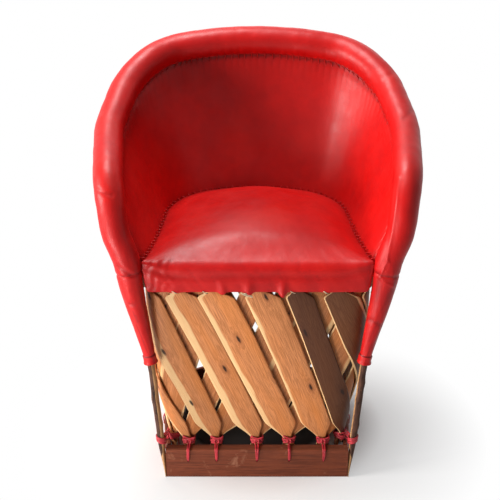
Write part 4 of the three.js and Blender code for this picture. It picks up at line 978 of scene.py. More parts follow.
def cushion_plan():
    """Outline of the cushion as a function of height: front edge from the left, then round the back."""
    columns, front = PLAN_COLUMNS, FRONT_COLUMNS
    shell = Shell(np.linspace(SHELL_START, 1 - SHELL_START, columns))
    lean = shell.high - shell.low
    flat = np.linalg.norm(lean[:, :2], axis=1)
    slope = lean * [1, 1, 0] / np.maximum(lean[:, 2], flat / SIDE_SLOPE_MOST)[:, None]
    base = shell.low - shell.out_low * (PANEL_MIDDLE + LEATHER + 0.5)
    shares = np.linspace(-1, 1, front)
    corner = smooth(np.abs(shares), 0.93, 1.0)
    turn = np.linspace(0, 1, CORNER_COLUMNS + 2)[1:-1, None]
    swell = np.array([[2.0, -1.0, 0]]) * np.sin(np.pi * turn)
    total = front + columns + 2 * CORNER_COLUMNS

    def at(z):
        """Places of the outline at a height, one for each point or one for all."""
        z = np.broadcast_to(z, (total,))
        half = APRON_HALF + APRON_FLARE * (z[:front] - APRON_HEM) / (SEAT_EDGE - APRON_HEM)
        half = half - 0.6 * corner
        fore = np.stack([shares * half, APRON_Y + 2.4 * corner, z[:front]], -1)
        rear_z = z[front + CORNER_COLUMNS:total - CORNER_COLUMNS]
        rear = base + slope * (rear_z - shell.low[:, 2])[:, None]
        right = lerp(fore[-1:], rear[:1], turn) + swell
        left = lerp(rear[-1:], fore[:1], turn) + swell * [[-1, 1, 1]]
        places = np.concatenate([fore, right, rear, left])
        places[:, 2] = z
        return places
    return at, front, columns + 2 * CORNER_COLUMNS


def edge_height(y):
    back = np.clip((y - APRON_Y) / (SEAT_BACK_Y - APRON_Y), 0, 1)
    return SEAT_HEIGHT + lerp(*EDGE_HEIGHTS, back ** 3)


def crown_height(points, plan, front, columns):
    """Height of the crown at each place, falling to the edge's height all round."""
    right = plan[front:front + columns // 2]
    x, y = points[..., 0], points[..., 1]
    half = np.interp(y, np.r_[APRON_Y, right[:, 1]], np.r_[right[0, 0], np.maximum(right[:, 0], 1)])
    across = np.clip(np.abs(x) / half, 0, 1)
    end = np.where(y < CROWN_Y, APRON_Y, plan[:, 1].max())
    deep = np.clip((y - CROWN_Y) / (end - CROWN_Y), 0, 1)
    rise = (1 - across ** 1.8) * (1 - deep ** 2.2) ** 0.9
    return lerp(edge_height(y), SEAT_HEIGHT + size("crown"), rise)


def cushion_rows(at, front, columns, lumps, hangs):
    """Rings from under the seat, round the hem, up the wall and over the edge to the crown's middle."""
    plan = at(SEAT_EDGE)
    count = len(plan)
    inward = unit((np.roll(plan, -1, 0) - np.roll(plan, 1, 0)) * [1, 1, 0])[:, [1, 0, 2]] * [-1, 1, 0]
    inward = unit(sum(np.roll(inward, step, 0) for step in range(-5, 6)))
    hem = np.full(count, UNDERSIDE)
    hem[:front] = lerp(UNDERSIDE, APRON_HEM + 1.5 - 0.8 * lumps[:front], hangs[:front])
    top = edge_height(plan[:, 1])
    radius = np.full(count, EDGE_RADIUS)
    share = np.linspace(-1, 1, front)
    radius[:front] = lerp(EDGE_RADIUS, FRONT_RADIUS, smooth(1 - np.abs(share), 0.0, 0.3))
    middle = np.array([0, CROWN_Y, 0])
    rows = []
    for inshare in (0.995, 0.8, 0.5, 0.2, 0.0):
        ring = lerp(at(UNDERSIDE) + inward * 4.5, middle, inshare)
        ring[:, 2] = UNDERSIDE
        rows.append((ring, "under", 0))
    inside = at(hem) + inward * 2.2
    rows.append((lerp(at(UNDERSIDE) + inward * 2.2, inside, 0.5 * hangs[:, None]), "inside", 0))
    rows.append((inside, "inside", 0))
    rows.append((at(hem - 0.8) + inward * 1.1, "hem", 0))
    rows += [(at(lerp(hem + 0.6, top - radius, w)), "wall", w) for w in np.linspace(0, 1, 26)]
    for w in np.linspace(0, 1, 9)[1:]:
        angle = w * math.pi / 2 * 0.74
        place = at(top - radius * (1 - math.sin(angle)))
        rows.append((place + inward * (radius * (1 - math.cos(angle)))[:, None], "edge", w))
    rim = rows[-1][0]
    slack = rim[:, 2] - crown_height(rim, plan, front, columns)
    for w in 1 - (1 - np.linspace(0, 1, 44)[1:]) ** 1.25:
        inner = lerp(rim, middle, min(w, 0.997))
        inner[:, 2] = crown_height(inner, plan, front, columns) + slack * (1 - smooth(w, 0, 0.25))
        rows.append((inner, "crown", w))
    return rows, top - radius


def wall_relief(points, kind, w, lumps, hangs, wall_top):
    """What the wrinkles of the apron and the drawn-down edge add, with painted shade in the crease and the
    troughs, and lighter crests that are partly rubbed wear and partly a painted highlight.
    """
    height = points[:, 2]
    across = points[:, 0] / APRON_HALF
    tucked = wall_top - 5.0 + 5.0 * rough(points * [1, 0, 0], 70, 19)
    crease = bell(height - tucked, 7.0) * hangs * (0.75 + 0.5 * rough(points * [1, 0, 0], 40, 27))
    end_folds = 0.35 + 0.65 * bell(across + 0.86, 0.2) + 0.35 * bell(across - 0.9, 0.12)
    slanted = points * [1.0, 1.0, 0.45] + np.stack([0.5 * height, 0 * height, 0 * height], -1)
    wrinkle = rough(slanted, 24, 11) + 0.6 * rough(slanted * [1.6, 1, 1], 12, 5)
    slanting = points[:, 0] / 2.6 - 0.12 * height + 5.0 * rough(points, 26, 33)
    relief = 1.2 * wrinkle * end_folds + 0.9 * bell(across + 0.92, 0.13) * np.sin(slanting)
    if kind == "wall":
        relief = relief + 1.6 * math.sin(math.pi * w) + 0.6 * lumps * (1 - w) ** 1.4
    # Painted shade in the crease under the edge and in the wrinkles' troughs; the crests are lighter, partly
    # wear and partly a painted highlight
    painted_shade_and_stain = np.clip(0.22 * crease + 0.3 * hangs * (wrinkle < -0.45) * end_folds, 0, 0.8)
    return hangs * relief - 1.9 * crease, painted_shade_and_stain, 0.5 * hangs * np.clip(wrinkle, 0, 1)


def crown_relief(points, w):
    """Hand-drawn unevenness of the crown, with short pleats that run in from its edge."""
    count = len(points)
    round_edge = np.column_stack([9 * circle(count), np.full(count, 3.0 * w)])
    pull = rough(round_edge, 1.0, 23) * math.exp(-w * 9) * smooth(w, 0, 0.05)
    relief = uneven(points, (0.8, 70, 2), (0.3, 24, 4), (0.14, 8, 6)) + 0.8 * pull
    return relief, 0.0, 0.55 * smooth(rough(points, 85, 12), -0.1, 0.6) * smooth(w, 0.1, 0.5)


def cushion_skin():
    """The stuffed seat: a crown, an edge drawn down all round, and the apron over the front rail."""
    at, front, columns = cushion_plan()
    count = front + columns
    behind = np.arange(count) >= front
    share = np.linspace(-1, 1, front)
    lumps, hangs = np.zeros(count), np.zeros(count)
    lumps[:front] = sum(depth * bell(share - place, width) for place, depth, width in HEM_LUMPS)
    hangs[:front] = smooth(1 - np.abs(share), 0.004, 0.02)
    rows, wall_top = cushion_rows(at, front, columns, lumps, hangs)
    rings = np.array([ring for ring, _, _ in rows])
    shift, painted_shade_and_stain, rub = np.zeros((3, *rings.shape[:2]))
    for r, (points, kind, w) in enumerate(rows):
        if kind in ("wall", "edge"):
            shift[r], painted_shade_and_stain[r], rub[r] = wall_relief(points, kind, w, lumps, hangs, wall_top)
        if kind == "crown":
            shift[r], painted_shade_and_stain[r], rub[r] = crown_relief(points, w)
        # Painted shade along the seam with the back panel
        if kind == "edge":
            painted_shade_and_stain[r] = np.maximum(painted_shade_and_stain[r], 0.4 * behind)
        if kind == "crown" and w < 0.1:
            painted_shade_and_stain[r] = 0.35 * math.exp(-w * 20) * behind
    around = np.roll(rings, -1, 1) - np.roll(rings, 1, 1)
    outwards = unit(np.cross(around, np.gradient(rings, axis=0)))
    piece = add_skin("stuffed_seat", rings + outwards * shift[..., None], "hide",
                     ("seat_cover", "seat_padding"), {"painted_shade_and_stain": painted_shade_and_stain, "wear_and_highlight": rub})


# Slats, posts and thongs

SLAT_HEIGHT = SLAT_HEIGHTS[1] - SLAT_HEIGHTS[0]
HOOP_UNDERSIDE = SEAT_HEIGHT - SEAT_HOOP_HEIGHT
# How much of a slat stands in its two thongs, where it is upright
LOW_TIP = (SLAT_TIP_REACH + TIE_RISE + THONG_BAND / 2) / SLAT_HEIGHT
HIGH_TIP = (SLAT_HEIGHTS[1] - HOOP_UNDERSIDE + TIE_RISE + THONG_BAND / 2 + 2 * SEATED) / SLAT_HEIGHT


def on_drum(around, climb, depth):
    """A place on the drum of slats: a share round it, a share up it and a depth into it."""
    around = np.mod(around, 1)
    low, out = on_plan(BASE_LOOP, around, depth)
    high, _ = on_plan(SEAT_LOOP, around, depth)
    splay = np.clip((climb - LOW_TIP) / (1 - LOW_TIP - HIGH_TIP), 0, 1)
    place = lerp(low, high, splay[..., None]) + out * SLAT_BOW * np.sin(np.pi * splay)[..., None]
    place[..., 2] = lerp(SLAT_HEIGHTS[0], SLAT_HEIGHTS[1], climb)
    return place


# Front slats that were split with sapwood on the left, and how wide it is
SAPWOOD = {0: 0.22, 1: 0.0, 2: -0.12, 3: -0.3, 15: 0.3, 14: 0.1}
# Painted shade on the front slats on the right, which lie in shade, and on all the inner ones
RIGHT_SLATS_PAINTED_SHADE = {3: 0.88, 4: 0.8, 5: 0.6}
INNER_SHADE = 0.2
SLAT_FLAT = 0.9             # share of a slat's width that isn't rounded off
SLAT_ROUNDING = 1.6         # depth of the rounded edges
SLAT_CROWNS = (1.4, 0.4)    # outer and inner face
SLAT_ROWS = 96
SLAT_PLACES = 17            # across its outer face
TIP_ROUNDING = 5.0


def slat_outline():
    """Shares across a slat and depths in it, round its section."""
    rounded = [(SLAT_FLAT + (1 - SLAT_FLAT) * math.sin(angle), 1 - math.cos(angle))
               for angle in np.linspace(0, math.pi / 2, 4)[1:]]
    face = [(share, 0.0) for share in np.linspace(-SLAT_FLAT, SLAT_FLAT, SLAT_PLACES)]
    outer = np.array([(-share, deep) for share, deep in rounded[::-1]] + face + rounded) * [1, SLAT_ROUNDING]
    shares, depths = np.concatenate([outer, [0, SLAT_THICKNESS] + outer[::-1] * [1, -1]]).T
    crown, hollow = SLAT_CROWNS
    return shares, depths, np.where(depths < SLAT_THICKNESS / 2, crown * shares ** 2, -hollow * shares ** 2)


def slat_halves(index, lean, climbs, girth, full):
    """Half widths to the left and to the right, up a slat."""
    here = tie_at(BASE_TIES, index)
    rooms = np.array([here - tie_at(BASE_TIES, index - 1), tie_at(BASE_TIES, index + 1) - here])
    fill, limit = sizes().slat_fill, size("slat_width")
    if lean > 0:
        fill, limit = fill + INNER_FILL, limit + INNER_WIDER
    widths = np.minimum(fill * rooms * BASE_LOOP.length, limit)
    if lean < 0 and index in FRONT_SLAT_WIDTHS:
        widths = np.full(2, FRONT_SLAT_WIDTHS[index] + 1.0)
    widths = widths * (girth / BASE_LOOP.length)[:, None]
    half = lerp(SLAT_TIP, widths, smooth(full)[:, None]) / 2
    blunt = np.clip(np.minimum(climbs, 1 - climbs) * SLAT_HEIGHT / TIP_ROUNDING, 0, 1)
    return half * np.sqrt(np.clip(1 - (1 - blunt) ** 2, 0.12, 1))[:, None]


def slat_skin(index, lean, depth, name, dark):
    """One split slat, crowned outside, with scraped edges and tips drawn to a blunt point."""
    low, high = tie_at(BASE_TIES, index), tie_at(SEAT_TIES, index + lean * 2)
    low_tie, high_tie = ((z - SLAT_HEIGHTS[0]) / SLAT_HEIGHT
                         for z in (BOARD_HEIGHT + TIE_RISE, HOOP_UNDERSIDE - TIE_RISE))
    seed = index * 1.37 + (5.3 if lean > 0 else 0.0)
    climbs = np.linspace(0, 1, SLAT_ROWS)
    tall = climbs[:, None]
    around = low + (high - low) * (climbs - low_tie) / (high_tie - low_tie)
    girth = lerp(BASE_LOOP.length, SEAT_LOOP.length, climbs)
    top_taper = SLAT_TOP_TAPER if lean < 0 else INNER_TOP_TAPER
    full = np.minimum((climbs - LOW_TIP) * SLAT_HEIGHT / SLAT_TAPER,
                      (1 - HIGH_TIP - climbs) * SLAT_HEIGHT / top_taper)
    half = slat_halves(index, lean, climbs, girth, full)
    shares, inset, crowned = slat_outline()

    def hewn(step, across, spread, layer):
        """Unevenness that runs up the slat at each of these places across it."""
        return np.array([[noise.noise(Vector((c * step + seed, s * spread, layer))) for s in across]
                         for c in climbs])

    wander = hewn(3.2, (-1, 1), 1.5, 9)
    left = shares[None] < 0
    waver = np.where(left, wander[:, :1], wander[:, 1:]) * np.abs(shares)
    reach = np.where(left, half[:, :1], half[:, 1:]) * shares
    reach = reach + 1.5 * waver * smooth(full, 0.1, 0.9)[:, None]
    sunk = inset + crowned + 0.35 * hewn(5, shares, 1.2, 2)
    rings = on_drum(around[:, None] + reach / girth[:, None], tall * np.ones(len(shares)), depth + sunk)
    points, faces, _ = loft(rings, flip=True)
    sap_side = -1 if lean < 0 and index in SAPWOOD else 1
    sapwood = SAPWOOD.get(index if lean < 0 else None, 0.08 * math.sin(seed * 3) - 0.12)
    # A painted highlight makes the left edge of each slat pale too
    edge = np.maximum(np.clip(shares * sap_side + sapwood, 0, 1), smooth(shares, -0.86, -0.96))
    marks = {
        "edge": edge * np.ones((SLAT_ROWS, 1)),
        "seed": np.full(rings.shape[:2], seed),
        # Painted shade from the slat's darkness, and darker towards the foot
        "painted_shade_and_stain": np.clip(dark + 0.2 * smooth(tall, 0.14, 0.03) * np.ones(len(shares)), 0, 0.92),
    }
    flat_uv = np.stack(np.broadcast_arrays(reach, tall * SLAT_HEIGHT), -1).reshape(-1, 2) * MM
    add_piece("split_" + name, points, faces, finish("slat"), (name,), marks,
              [flat_uv[i] for face in faces for i in face])


def make_slats():
    for index in range(TIE_COUNT):
        number = f"slat_{index + 1:02d}"
        slat_skin(index, -1, SLAT_SETBACK, "outer_" + number, RIGHT_SLATS_PAINTED_SHADE.get(index, 0.0))
        slat_skin(index, 1, SLAT_SETBACK + SLAT_THICKNESS + SLAT_LAYER_GAP, "inner_" + number, INNER_SHADE)


BARK_KEPT = {1: 1.05, -1: 0.55}     # more on the right stick than on the left one
POST_TOP = 470.0            # hidden in the roll
POST_KNOTS = ((118, 0.7), (176, -0.5), (214, 0.9))      # height, and the side they are on


def post_skin(side):
    """A bent stick, bark outside and split inside, flattened to a wedge at its foot."""
    name = "front_post_" + side_name(side)
    foot_heights = np.linspace(0, FOOT_TOP, 26)
    upper = np.linspace(FOOT_TOP, POST_TOP, 150)[1:]
    share = lerp(foot_heights / FOOT_TOP, smooth(foot_heights / FOOT_TOP), 0.35)
    half_x = lerp(FOOT_HALF_WIDTH, POST_RADIUS, share)
    foot = np.stack([side * (BOARD_HALF + SEATED + half_x), FOOT[1] + 0 * share, foot_heights], -1)
    rim_share = rim_share_at(upper, side)
    place = np.concatenate([foot, RIM.at(rim_share)])
    along = np.concatenate([np.tile([0, 0, 1.0], (len(foot), 1)), RIM.along(rim_share) * side])
    u = square_to(np.array([1.0, 0, 0]), along)
    halves = np.concatenate([
        np.stack([half_x, lerp(FOOT_HALF_DEPTH, POST_RADIUS, share)], -1),
        np.full((len(upper), 2), POST_RADIUS)])
    tall = place[:, 2:]
    spokes = circle(28)
    rings = ring_at(place, u, np.cross(along, u), halves[:, None] * spokes)
    outwards = unit(rings - place[:, None])
    facing_out = spokes[:, 0] * side
    split = np.clip(-facing_out - 0.35, 0, 1)
    knots = sum(1.5 * bell(tall - height, 9) * bell(spokes[:, 0] - across, 0.8)
                for height, across in POST_KNOTS)
    rugged = 0.7 * rough(rings * [1, 1, 0.3], 6, 3 + side) + 0.6 * rough(rings * [1, 1, 0.5], 17, 8)
    shown = smooth(tall, 4, FOOT_TOP) * smooth(tall, CUFF_LOW + 4, CUFF_LOW - 6)
    shift = shown * (0.6 * rugged + knots - 1.7 * split - 0.4)
    rings = rings + outwards * shift[..., None]
    # The foot was whittled flat with a knife
    bark = np.clip(BARK_KEPT[side] + 0.75 * facing_out - 0.9 * smooth(tall, 58, 40), 0, 1)
    add_skin("barked_" + name, rings, "stick", (name,), {"bark": bark})


def tube(places, half_width, half_height=None, lift=(0, 0, 1), sides=8, taper=0.0, looped=False):
    """Skin of a cord or thong along places; lift is the direction of its height."""
    places = np.asarray(places, float)
    if looped:
        along = unit(np.roll(places, -1, 0) - np.roll(places, 1, 0))
    else:
        along = unit(np.gradient(places, axis=0))
    across = unit(np.cross(along, lift))
    order = np.arange(len(places))
    thin = 1 - taper * (1 - smooth(np.minimum(order, order[::-1]) / 2.0))
    outline = circle(sides) * [half_width, half_height or half_width] * thin[:, None, None]
    return loft(ring_at(places, across, np.cross(across, along), outline), True, looped)


def rounded_line(corners, steps=10):
    """A smooth line through corners."""
    return Path(corners).at(np.linspace(0, 1, steps * (len(corners) - 1) + 1))


def rounded_ring(corners, steps):
    return Path(corners, closed=True).at(np.linspace(0, 1, steps, endpoint=False))


class Tie:
    """A tie on a loop, with the directions along the loop and into the drum."""

    def __init__(self, loop, share):
        place, out = on_plan(loop, np.array([share % 1]))
        self.place, self.inward = place[0], -out[0]
        self.along = loop.along(np.array([share % 1]))[0]

    def at(self, corners):
        """Places at distances along the loop, into the drum and up."""
        return [self.place + self.along * x + self.inward * y + raised(z) for x, y, z in corners]


def wall_at(index):
    """Wood between a tie and the outer face of the base, along the tie's thong."""
    if index in (CORNER_TIE, TIE_COUNT - CORNER_TIE):
        tie = Tie(BASE_LOOP, BASE_TIES[index])
        mirror = [np.sign(tie.place[0]), 1, 0]
        faces, _ = on_plan(BASE_BENT, np.linspace(0, 0.25, 201), -HOOP_THICKNESS / 2)
        faces = faces - tie.place * mirror
        ray = -tie.inward * mirror
        beside = np.abs(faces[:, 0] * ray[1] - faces[:, 1] * ray[0])
        return float((faces @ ray)[beside.argmin()]) + abs(tie.inward[1] / tie.inward[0]) * STRAND_WIDTH
    return BOARD_BACK_Y - BOARD_FACE_Y if index <= 2 or index >= TIE_COUNT - 2 else HOOP_THICKNESS


TIP_HALF = SLAT_TIP / 2
TIP_DEPTH = SLAT_SETBACK + 2 * SLAT_THICKNESS + SLAT_LAYER_GAP
STRAND_WIDTH = 2.5          # of a thong pulled thin
# Half width and half thickness of the thong in its parts
KNOT, TAIL, PLUG, STRAND, STRAP = (1.9, 1.5), (1.7, 1.0), (1.7, 1.7), (1.9, 1.1), (2.6, 1.1)
TURN_THICKNESS = 1.25
THONG_CLEARANCE = 1.4       # middle of a turn outside the wood it goes round
BASE_RISE = 6.0             # lowest turn above the board's edge
TURN_GROWTH = 0.6           # a turn lies this much outside the one before
STRAP_DEPTH = 3.4           # from the tips to the thong on the hidden side
STRAP_SAG = 2.5
POST_TURNS = ((79.0, 3.0), (83.5, 1.5), (88.0, 2.5))    # height and tilt


def tied_turns(tie, heights, wild):
    """Turns of thong round a crossed pair of tips, slanting to an X at the front."""
    parts = []
    for turn, (left, right) in enumerate(heights):
        grow = TURN_GROWTH * turn
        half = TIP_HALF + THONG_CLEARANCE + grow
        near, far = SLAT_SETBACK - 2.2 - grow, TIP_DEPTH + 2.0 + grow
        middle, back = (near + far) / 2, (left + right) / 2
        ring = [(-half, near + 1.5, left), (-half * 0.5, near, lerp(left, right, 0.25)),
                (0, near - 0.5, back), (half * 0.5, near, lerp(left, right, 0.75)),
                (half, near + 1.5, right), (half + 0.6, middle, lerp(right, back, 0.5)),
                (half * 0.8, far, back), (0, far + 0.4, back), (-half * 0.8, far, back),
                (-half - 0.6, middle, lerp(left, back, 0.5))]
        points = rounded_ring(tie.at(ring), 48)
        lift = unit((points - tie.place - tie.inward * middle) * [1, 1, 0])
        parts.append(tube(points, size("thong_width") / 2 * wild, TURN_THICKNESS, lift, looped=True))
    return parts


def base_thongs():
    """Turns, knots and tails of the thong at each tie of the base, and its run round the posts."""
    parts = []
    rise = BOARD_HEIGHT + BASE_RISE
    for index in range(TIE_COUNT):
        tie = Tie(BASE_LOOP, BASE_TIES[index])
        wall = wall_at(index)
        wild = 1 + 0.12 * math.sin(index * 5.1)
        tilt = 3.5 + 1.5 * math.sin(index * 2.3)
        parts += tied_turns(tie, [(rise + tilt, rise - 2), (rise - 2, rise + tilt + 1),
                                  (rise + 8 + tilt, rise + 4), (rise + 4, rise + 10)], wild)
        # The knot in front of the tips, and the two tails down to the hole
        knot = [(4.2 * math.sin(t) * wild, SLAT_SETBACK - 5.2 + 1.3 * math.cos(t * 2),
                 rise + 3 + 3.0 * math.sin(2 * t)) for t in np.linspace(0, 2 * math.pi, 15)[:-1]]
        parts.append(tube(rounded_ring(tie.at(knot), 40), *KNOT, looped=True))
        face = -wall - SEATED
        for side in (-1, 1):
            sway = side * 1.6 + 0.9 * math.sin(index * 3.7 + side)
            drop = [(side * 3.2 + sway, SLAT_SETBACK - 4.6, rise + 4), (sway * 1.4, -3.0, rise - 1.5),
                    (sway, -wall * 0.5, BOARD_HEIGHT + 1.6), (sway * 0.9, face + 1.2, BOARD_HEIGHT + 1.1),
                    (sway * 0.7, face - 1.4, BOARD_HEIGHT - 3), (side * 1.0, face - 1.3, HOLE_HEIGHT + 9),
                    (side * 0.7, face - 0.9, HOLE_HEIGHT + 4.4), (side * 0.5, face + 3, HOLE_HEIGHT + 1.8)]
            lift = unit(raised(0.6) - tie.inward)
            parts.append(tube(rounded_line(tie.at(drop), 7), *TAIL, lift, taper=0.3))
        through = [(0, y, HOLE_HEIGHT) for y in (face + 1, 0, TIP_DEPTH + 2)]
        parts.append(tube(rounded_line(tie.at(through), 5), *PLUG))
    parts += post_turns(-1, TIE_COUNT - CORNER_TIE) + post_turns(1, CORNER_TIE)
    parts.append(inner_strap(BASE_LOOP, BASE_TIES, HOLE_HEIGHT))
    add_strands("base_thongs", parts, "thong", ("base_lacing",),
                lambda points: 0.25 * (rough(points, 10, 3) < -0.2))


def post_turns(side, tie_index):
    """Turns of the corner's thong round the post, and the strands that lead to them."""
    parts = []
    corner = Tie(BASE_LOOP, BASE_TIES[tie_index]).place * [1, 1, 0]
    spokes = circle(28)
    for height, tilt in POST_TURNS:
        post = RIM.at(rim_share_at(height, side))
        around = np.column_stack([spokes, side * tilt / 9 * spokes[:, 0]])
        parts.append(tube(post + around * (POST_RADIUS + THONG_CLEARANCE), size("thong_width") / 2, 1.2,
                          unit(around * [1, 1, 0]), looped=True))
        inner = post + np.array([-side * 5.0, POST_RADIUS + 1.5, 0])
        halfway = lerp(inner, corner, 0.5) * [1, 1, 0]
        strand = [inner, halfway + raised(height - 1), corner + raised(height - 5)]
        parts.append(tube(rounded_line(strand, 6), *STRAND))
    return parts


def inner_strap(loop, ties, height):
    """The thong's run from tie to tie on the hidden side, sagging a little between two ties."""
    stops = []
    for index in range(TIE_COUNT):
        gap = tie_at(ties, index + 1) - ties[index]
        for part in np.linspace(0, 1, 7)[:-1]:
            place, _ = on_plan(loop, np.array([(ties[index] + gap * part) % 1]), TIP_DEPTH + STRAP_DEPTH)
            stops.append(place[0] + raised(height - STRAP_SAG * math.sin(math.pi * part)))
    points = rounded_ring(stops, 360)
    return tube(points, *STRAP, unit((points - points.mean(0)) * [1, 1, 0]), looped=True)


def seat_thongs():
    """Turns of the thong at each tie of the seat hoop."""
    parts = []
    for index in range(TIE_COUNT):
        tilt = 2.0 + math.sin(index * 2.9)
        turns = [(HOOP_UNDERSIDE + left, HOOP_UNDERSIDE + right)
                 for left, right in ((tilt - 5, -9), (-9, tilt - 4))]
        parts += tied_turns(Tie(SEAT_LOOP, SEAT_TIES[index]), turns, 1.0)
    parts.append(inner_strap(SEAT_LOOP, SEAT_TIES, HOOP_UNDERSIDE - 4))
    add_strands("seat_thongs", parts, "thong", ("seat_lacing",), lambda points: 0)


# Sewing

CUFF_STITCH_PITCH = 11.0
CUFF_STITCH_ANGLE = 0.34    # to each side of the seam
SEAT_STITCH_PITCH = 15.0
HEM_STITCHES = ((-19, 0.5), (-95, -0.4), (62, 0.3), (121, -0.5), (-150, 0.4))      # place and slope
LOOSE_THREAD = ((-29, 1), (-24, -3), (-17, -5.5), (-9, -7), (-12, -4.5), (-19, -2.5), (-26, -0.5), (-20, 0.5))


def stitch_of(corners, lift, half_width=0.9, half_height=0.8):
    return tube(rounded_line(corners, 4), half_width, half_height, lift, sides=6)


def cuff_stitches(side):
    """Pale cord across the gap of a cuff, in slanting pairs."""
    heights = np.arange(CUFF_LOW + CUFF_BAND + 8, CUFF_TOP - 6, CUFF_STITCH_PITCH)
    place, along, u, v = upright_axes(heights, side)
    parts = []
    for k, height in enumerate(heights):
        radius = float(cuff_radius(height)) + 0.9
        lean = 2.6 if k % 2 else -2.6
        line = []
        for part in np.linspace(-1, 1, 9):
            angle = part * CUFF_STITCH_ANGLE
            bulge = radius + 1.1 * math.cos(part * math.pi / 2)
            spot = place[k] + bulge * (math.cos(angle) * u[k] + math.sin(angle) * v[k])
            line.append(spot + along[k] * lean * part)
        line[0] -= 2.5 * u[k]
        line[-1] -= 2.5 * u[k]
        parts.append(tube(line, size("stitch"), sides=6, lift=along[k]))
    add_strands("cuff_stitches_" + side_name(side), parts, "cord")


def rim_stitches():
    """Thin thong that draws the inner panel to the roll, one stitch in each gather."""
    shares = np.linspace(SHELL_START + 0.012, 1 - SHELL_START - 0.012, 900)
    place, _, u, v = rim_axes(shares)
    walked = shares * RIM.length
    groove = gathers(walked, size("pucker_pitch"))
    peaks = [k for k in range(1, len(groove) - 1)
             if groove[k - 1] <= groove[k] > groove[k + 1] and groove[k] > 0.4]
    radius = roll_radius(place[:, 2])
    shell = Shell(shares)
    climbs = shell.climb_near(radius + 3.5)
    parts = []
    for k in peaks:
        line = []
        for angle, proud in ((0.36, -1.8), (0.26, 0.9), (0.16, 0.9)):
            angle += SEAM_ANGLE
            reach = radius[k] - 0.8 * size("pucker") + proud
            line.append(place[k] + reach * (math.cos(angle) * u[k] + math.sin(angle) * v[k]))
        one = Shell(shares[k:k + 1])
        for drop, deep in ((0.0, 0.9), (4.0, 1.6)):
            line.append(one.at(climbs[k] - drop / one.square[0], deep - PANEL_MIDDLE - LEATHER)[0])
        parts.append(stitch_of(line, v[k], 0.9, 0.7))
    add_strands("rim_stitches", parts, "hide", painted_shade_and_stain=lambda points: 0.08)


def seat_stitches():
    """Stitches that hold the cushion's edge to the back, where the crown drops away."""
    at, front, _ = cushion_plan()
    ring = at(edge_height(at(SEAT_EDGE)[:, 1]) - 3.0)[front:]
    walked = np.concatenate([[0], np.cumsum(np.linalg.norm(np.diff(ring, axis=0), axis=1))])
    parts = []
    for k, distance in enumerate(np.arange(10, walked[-1] - 10, SEAT_STITCH_PITCH)):
        here, ahead = (np.array([np.interp(way, walked, axis) for axis in ring.T])
                       for way in (distance, distance + 2))
        run = unit(ahead - here)
        inward = unit(np.array([-run[1], run[0], 0]))
        slant = run * (2.2 if k % 2 else -2.2)
        line = [here + inward * reach + raised(z) + slant * turn for reach, z, turn in (
            (7.5, -3.5, -1), (5.2, 3.2, -0.5), (2.0, 4.6, 0), (-0.6, 4.2, 0.5), (-2.0, 5.5, 1))]
        parts.append(stitch_of(line, run))
    add_strands("seat_stitches", parts, "hide", painted_shade_and_stain=lambda points: 0)


def hem_stitches():
    """A few pale stitches that show at the apron's hem, and a loop of thread that hangs loose."""
    parts = []
    y, lift = APRON_Y - 1.4, (0, 1, 0.2)
    for x, slope in HEM_STITCHES:
        line = [(x - 3.5, y + 0.6, APRON_HEM + 3.0), (x, y - 1.0, APRON_HEM + 1.5 + slope),
                (x + 3.5, y - 0.8, APRON_HEM - 0.5 + slope), (x + 5.5, y + 2.5, APRON_HEM - 1.2)]
        parts.append(stitch_of(line, lift, 0.8, 0.7))
    loose = [(x, APRON_Y - 4.0 + 0.02 * (x + 19), APRON_HEM + z) for x, z in LOOSE_THREAD]
    parts.append(stitch_of(loose, lift))
    add_strands("hem_stitches", parts, "cord")


# Operators and the panel

class MakeRoll(bpy.types.Operator):
    """Makes the padded roll of the rim with its laced seam"""
    bl_idname = "equipale.roll"
    bl_label = "Padded Roll"

    def execute(self, context):
        roll_skin()
        rim_stitches()
        return {"FINISHED"}


class MakePanels(bpy.types.Operator):
    """Makes the leather panels inside and outside the back"""
    bl_idname = "equipale.panels"
    bl_label = "Back Panels"

    def execute(self, context):
        panel_skin("inner_panel", -1, 0)
        panel_skin("outer_panel", 1, 20.0)
        return {"FINISHED"}


class MakeCuffs(bpy.types.Operator):
    """Makes the sewn sleeves of the posts"""
    bl_idname = "equipale.cuffs"
    bl_label = "Cuffs"

    def execute(self, context):
        for side in (-1, 1):
            cuff_skin(side)
            cuff_stitches(side)
        return {"FINISHED"}


class MakeCushion(bpy.types.Operator):
    """Makes the stuffed seat, its apron and its stitches"""
    bl_idname = "equipale.cushion"
    bl_label = "Cushion"

    def execute(self, context):
        cushion_skin()
        seat_stitches()
        hem_stitches()
        return {"FINISHED"}


class MakeSlats(bpy.types.Operator):
    """Makes the two layers of split slats"""
    bl_idname = "equipale.slats"
    bl_label = "Slats"

    def execute(self, context):
        make_slats()
        return {"FINISHED"}


class MakePosts(bpy.types.Operator):
    """Makes the barked sticks of the two posts"""
    bl_idname = "equipale.posts"
    bl_label = "Posts"

    def execute(self, context):
        for side in (-1, 1):
            post_skin(side)
        return {"FINISHED"}


class MakeThongs(bpy.types.Operator):
    """Makes the thongs that tie the slats to the base and to the seat hoop"""
    bl_idname = "equipale.thongs"
    bl_label = "Thongs"

    def execute(self, context):
        base_thongs()
        seat_thongs()
        return {"FINISHED"}


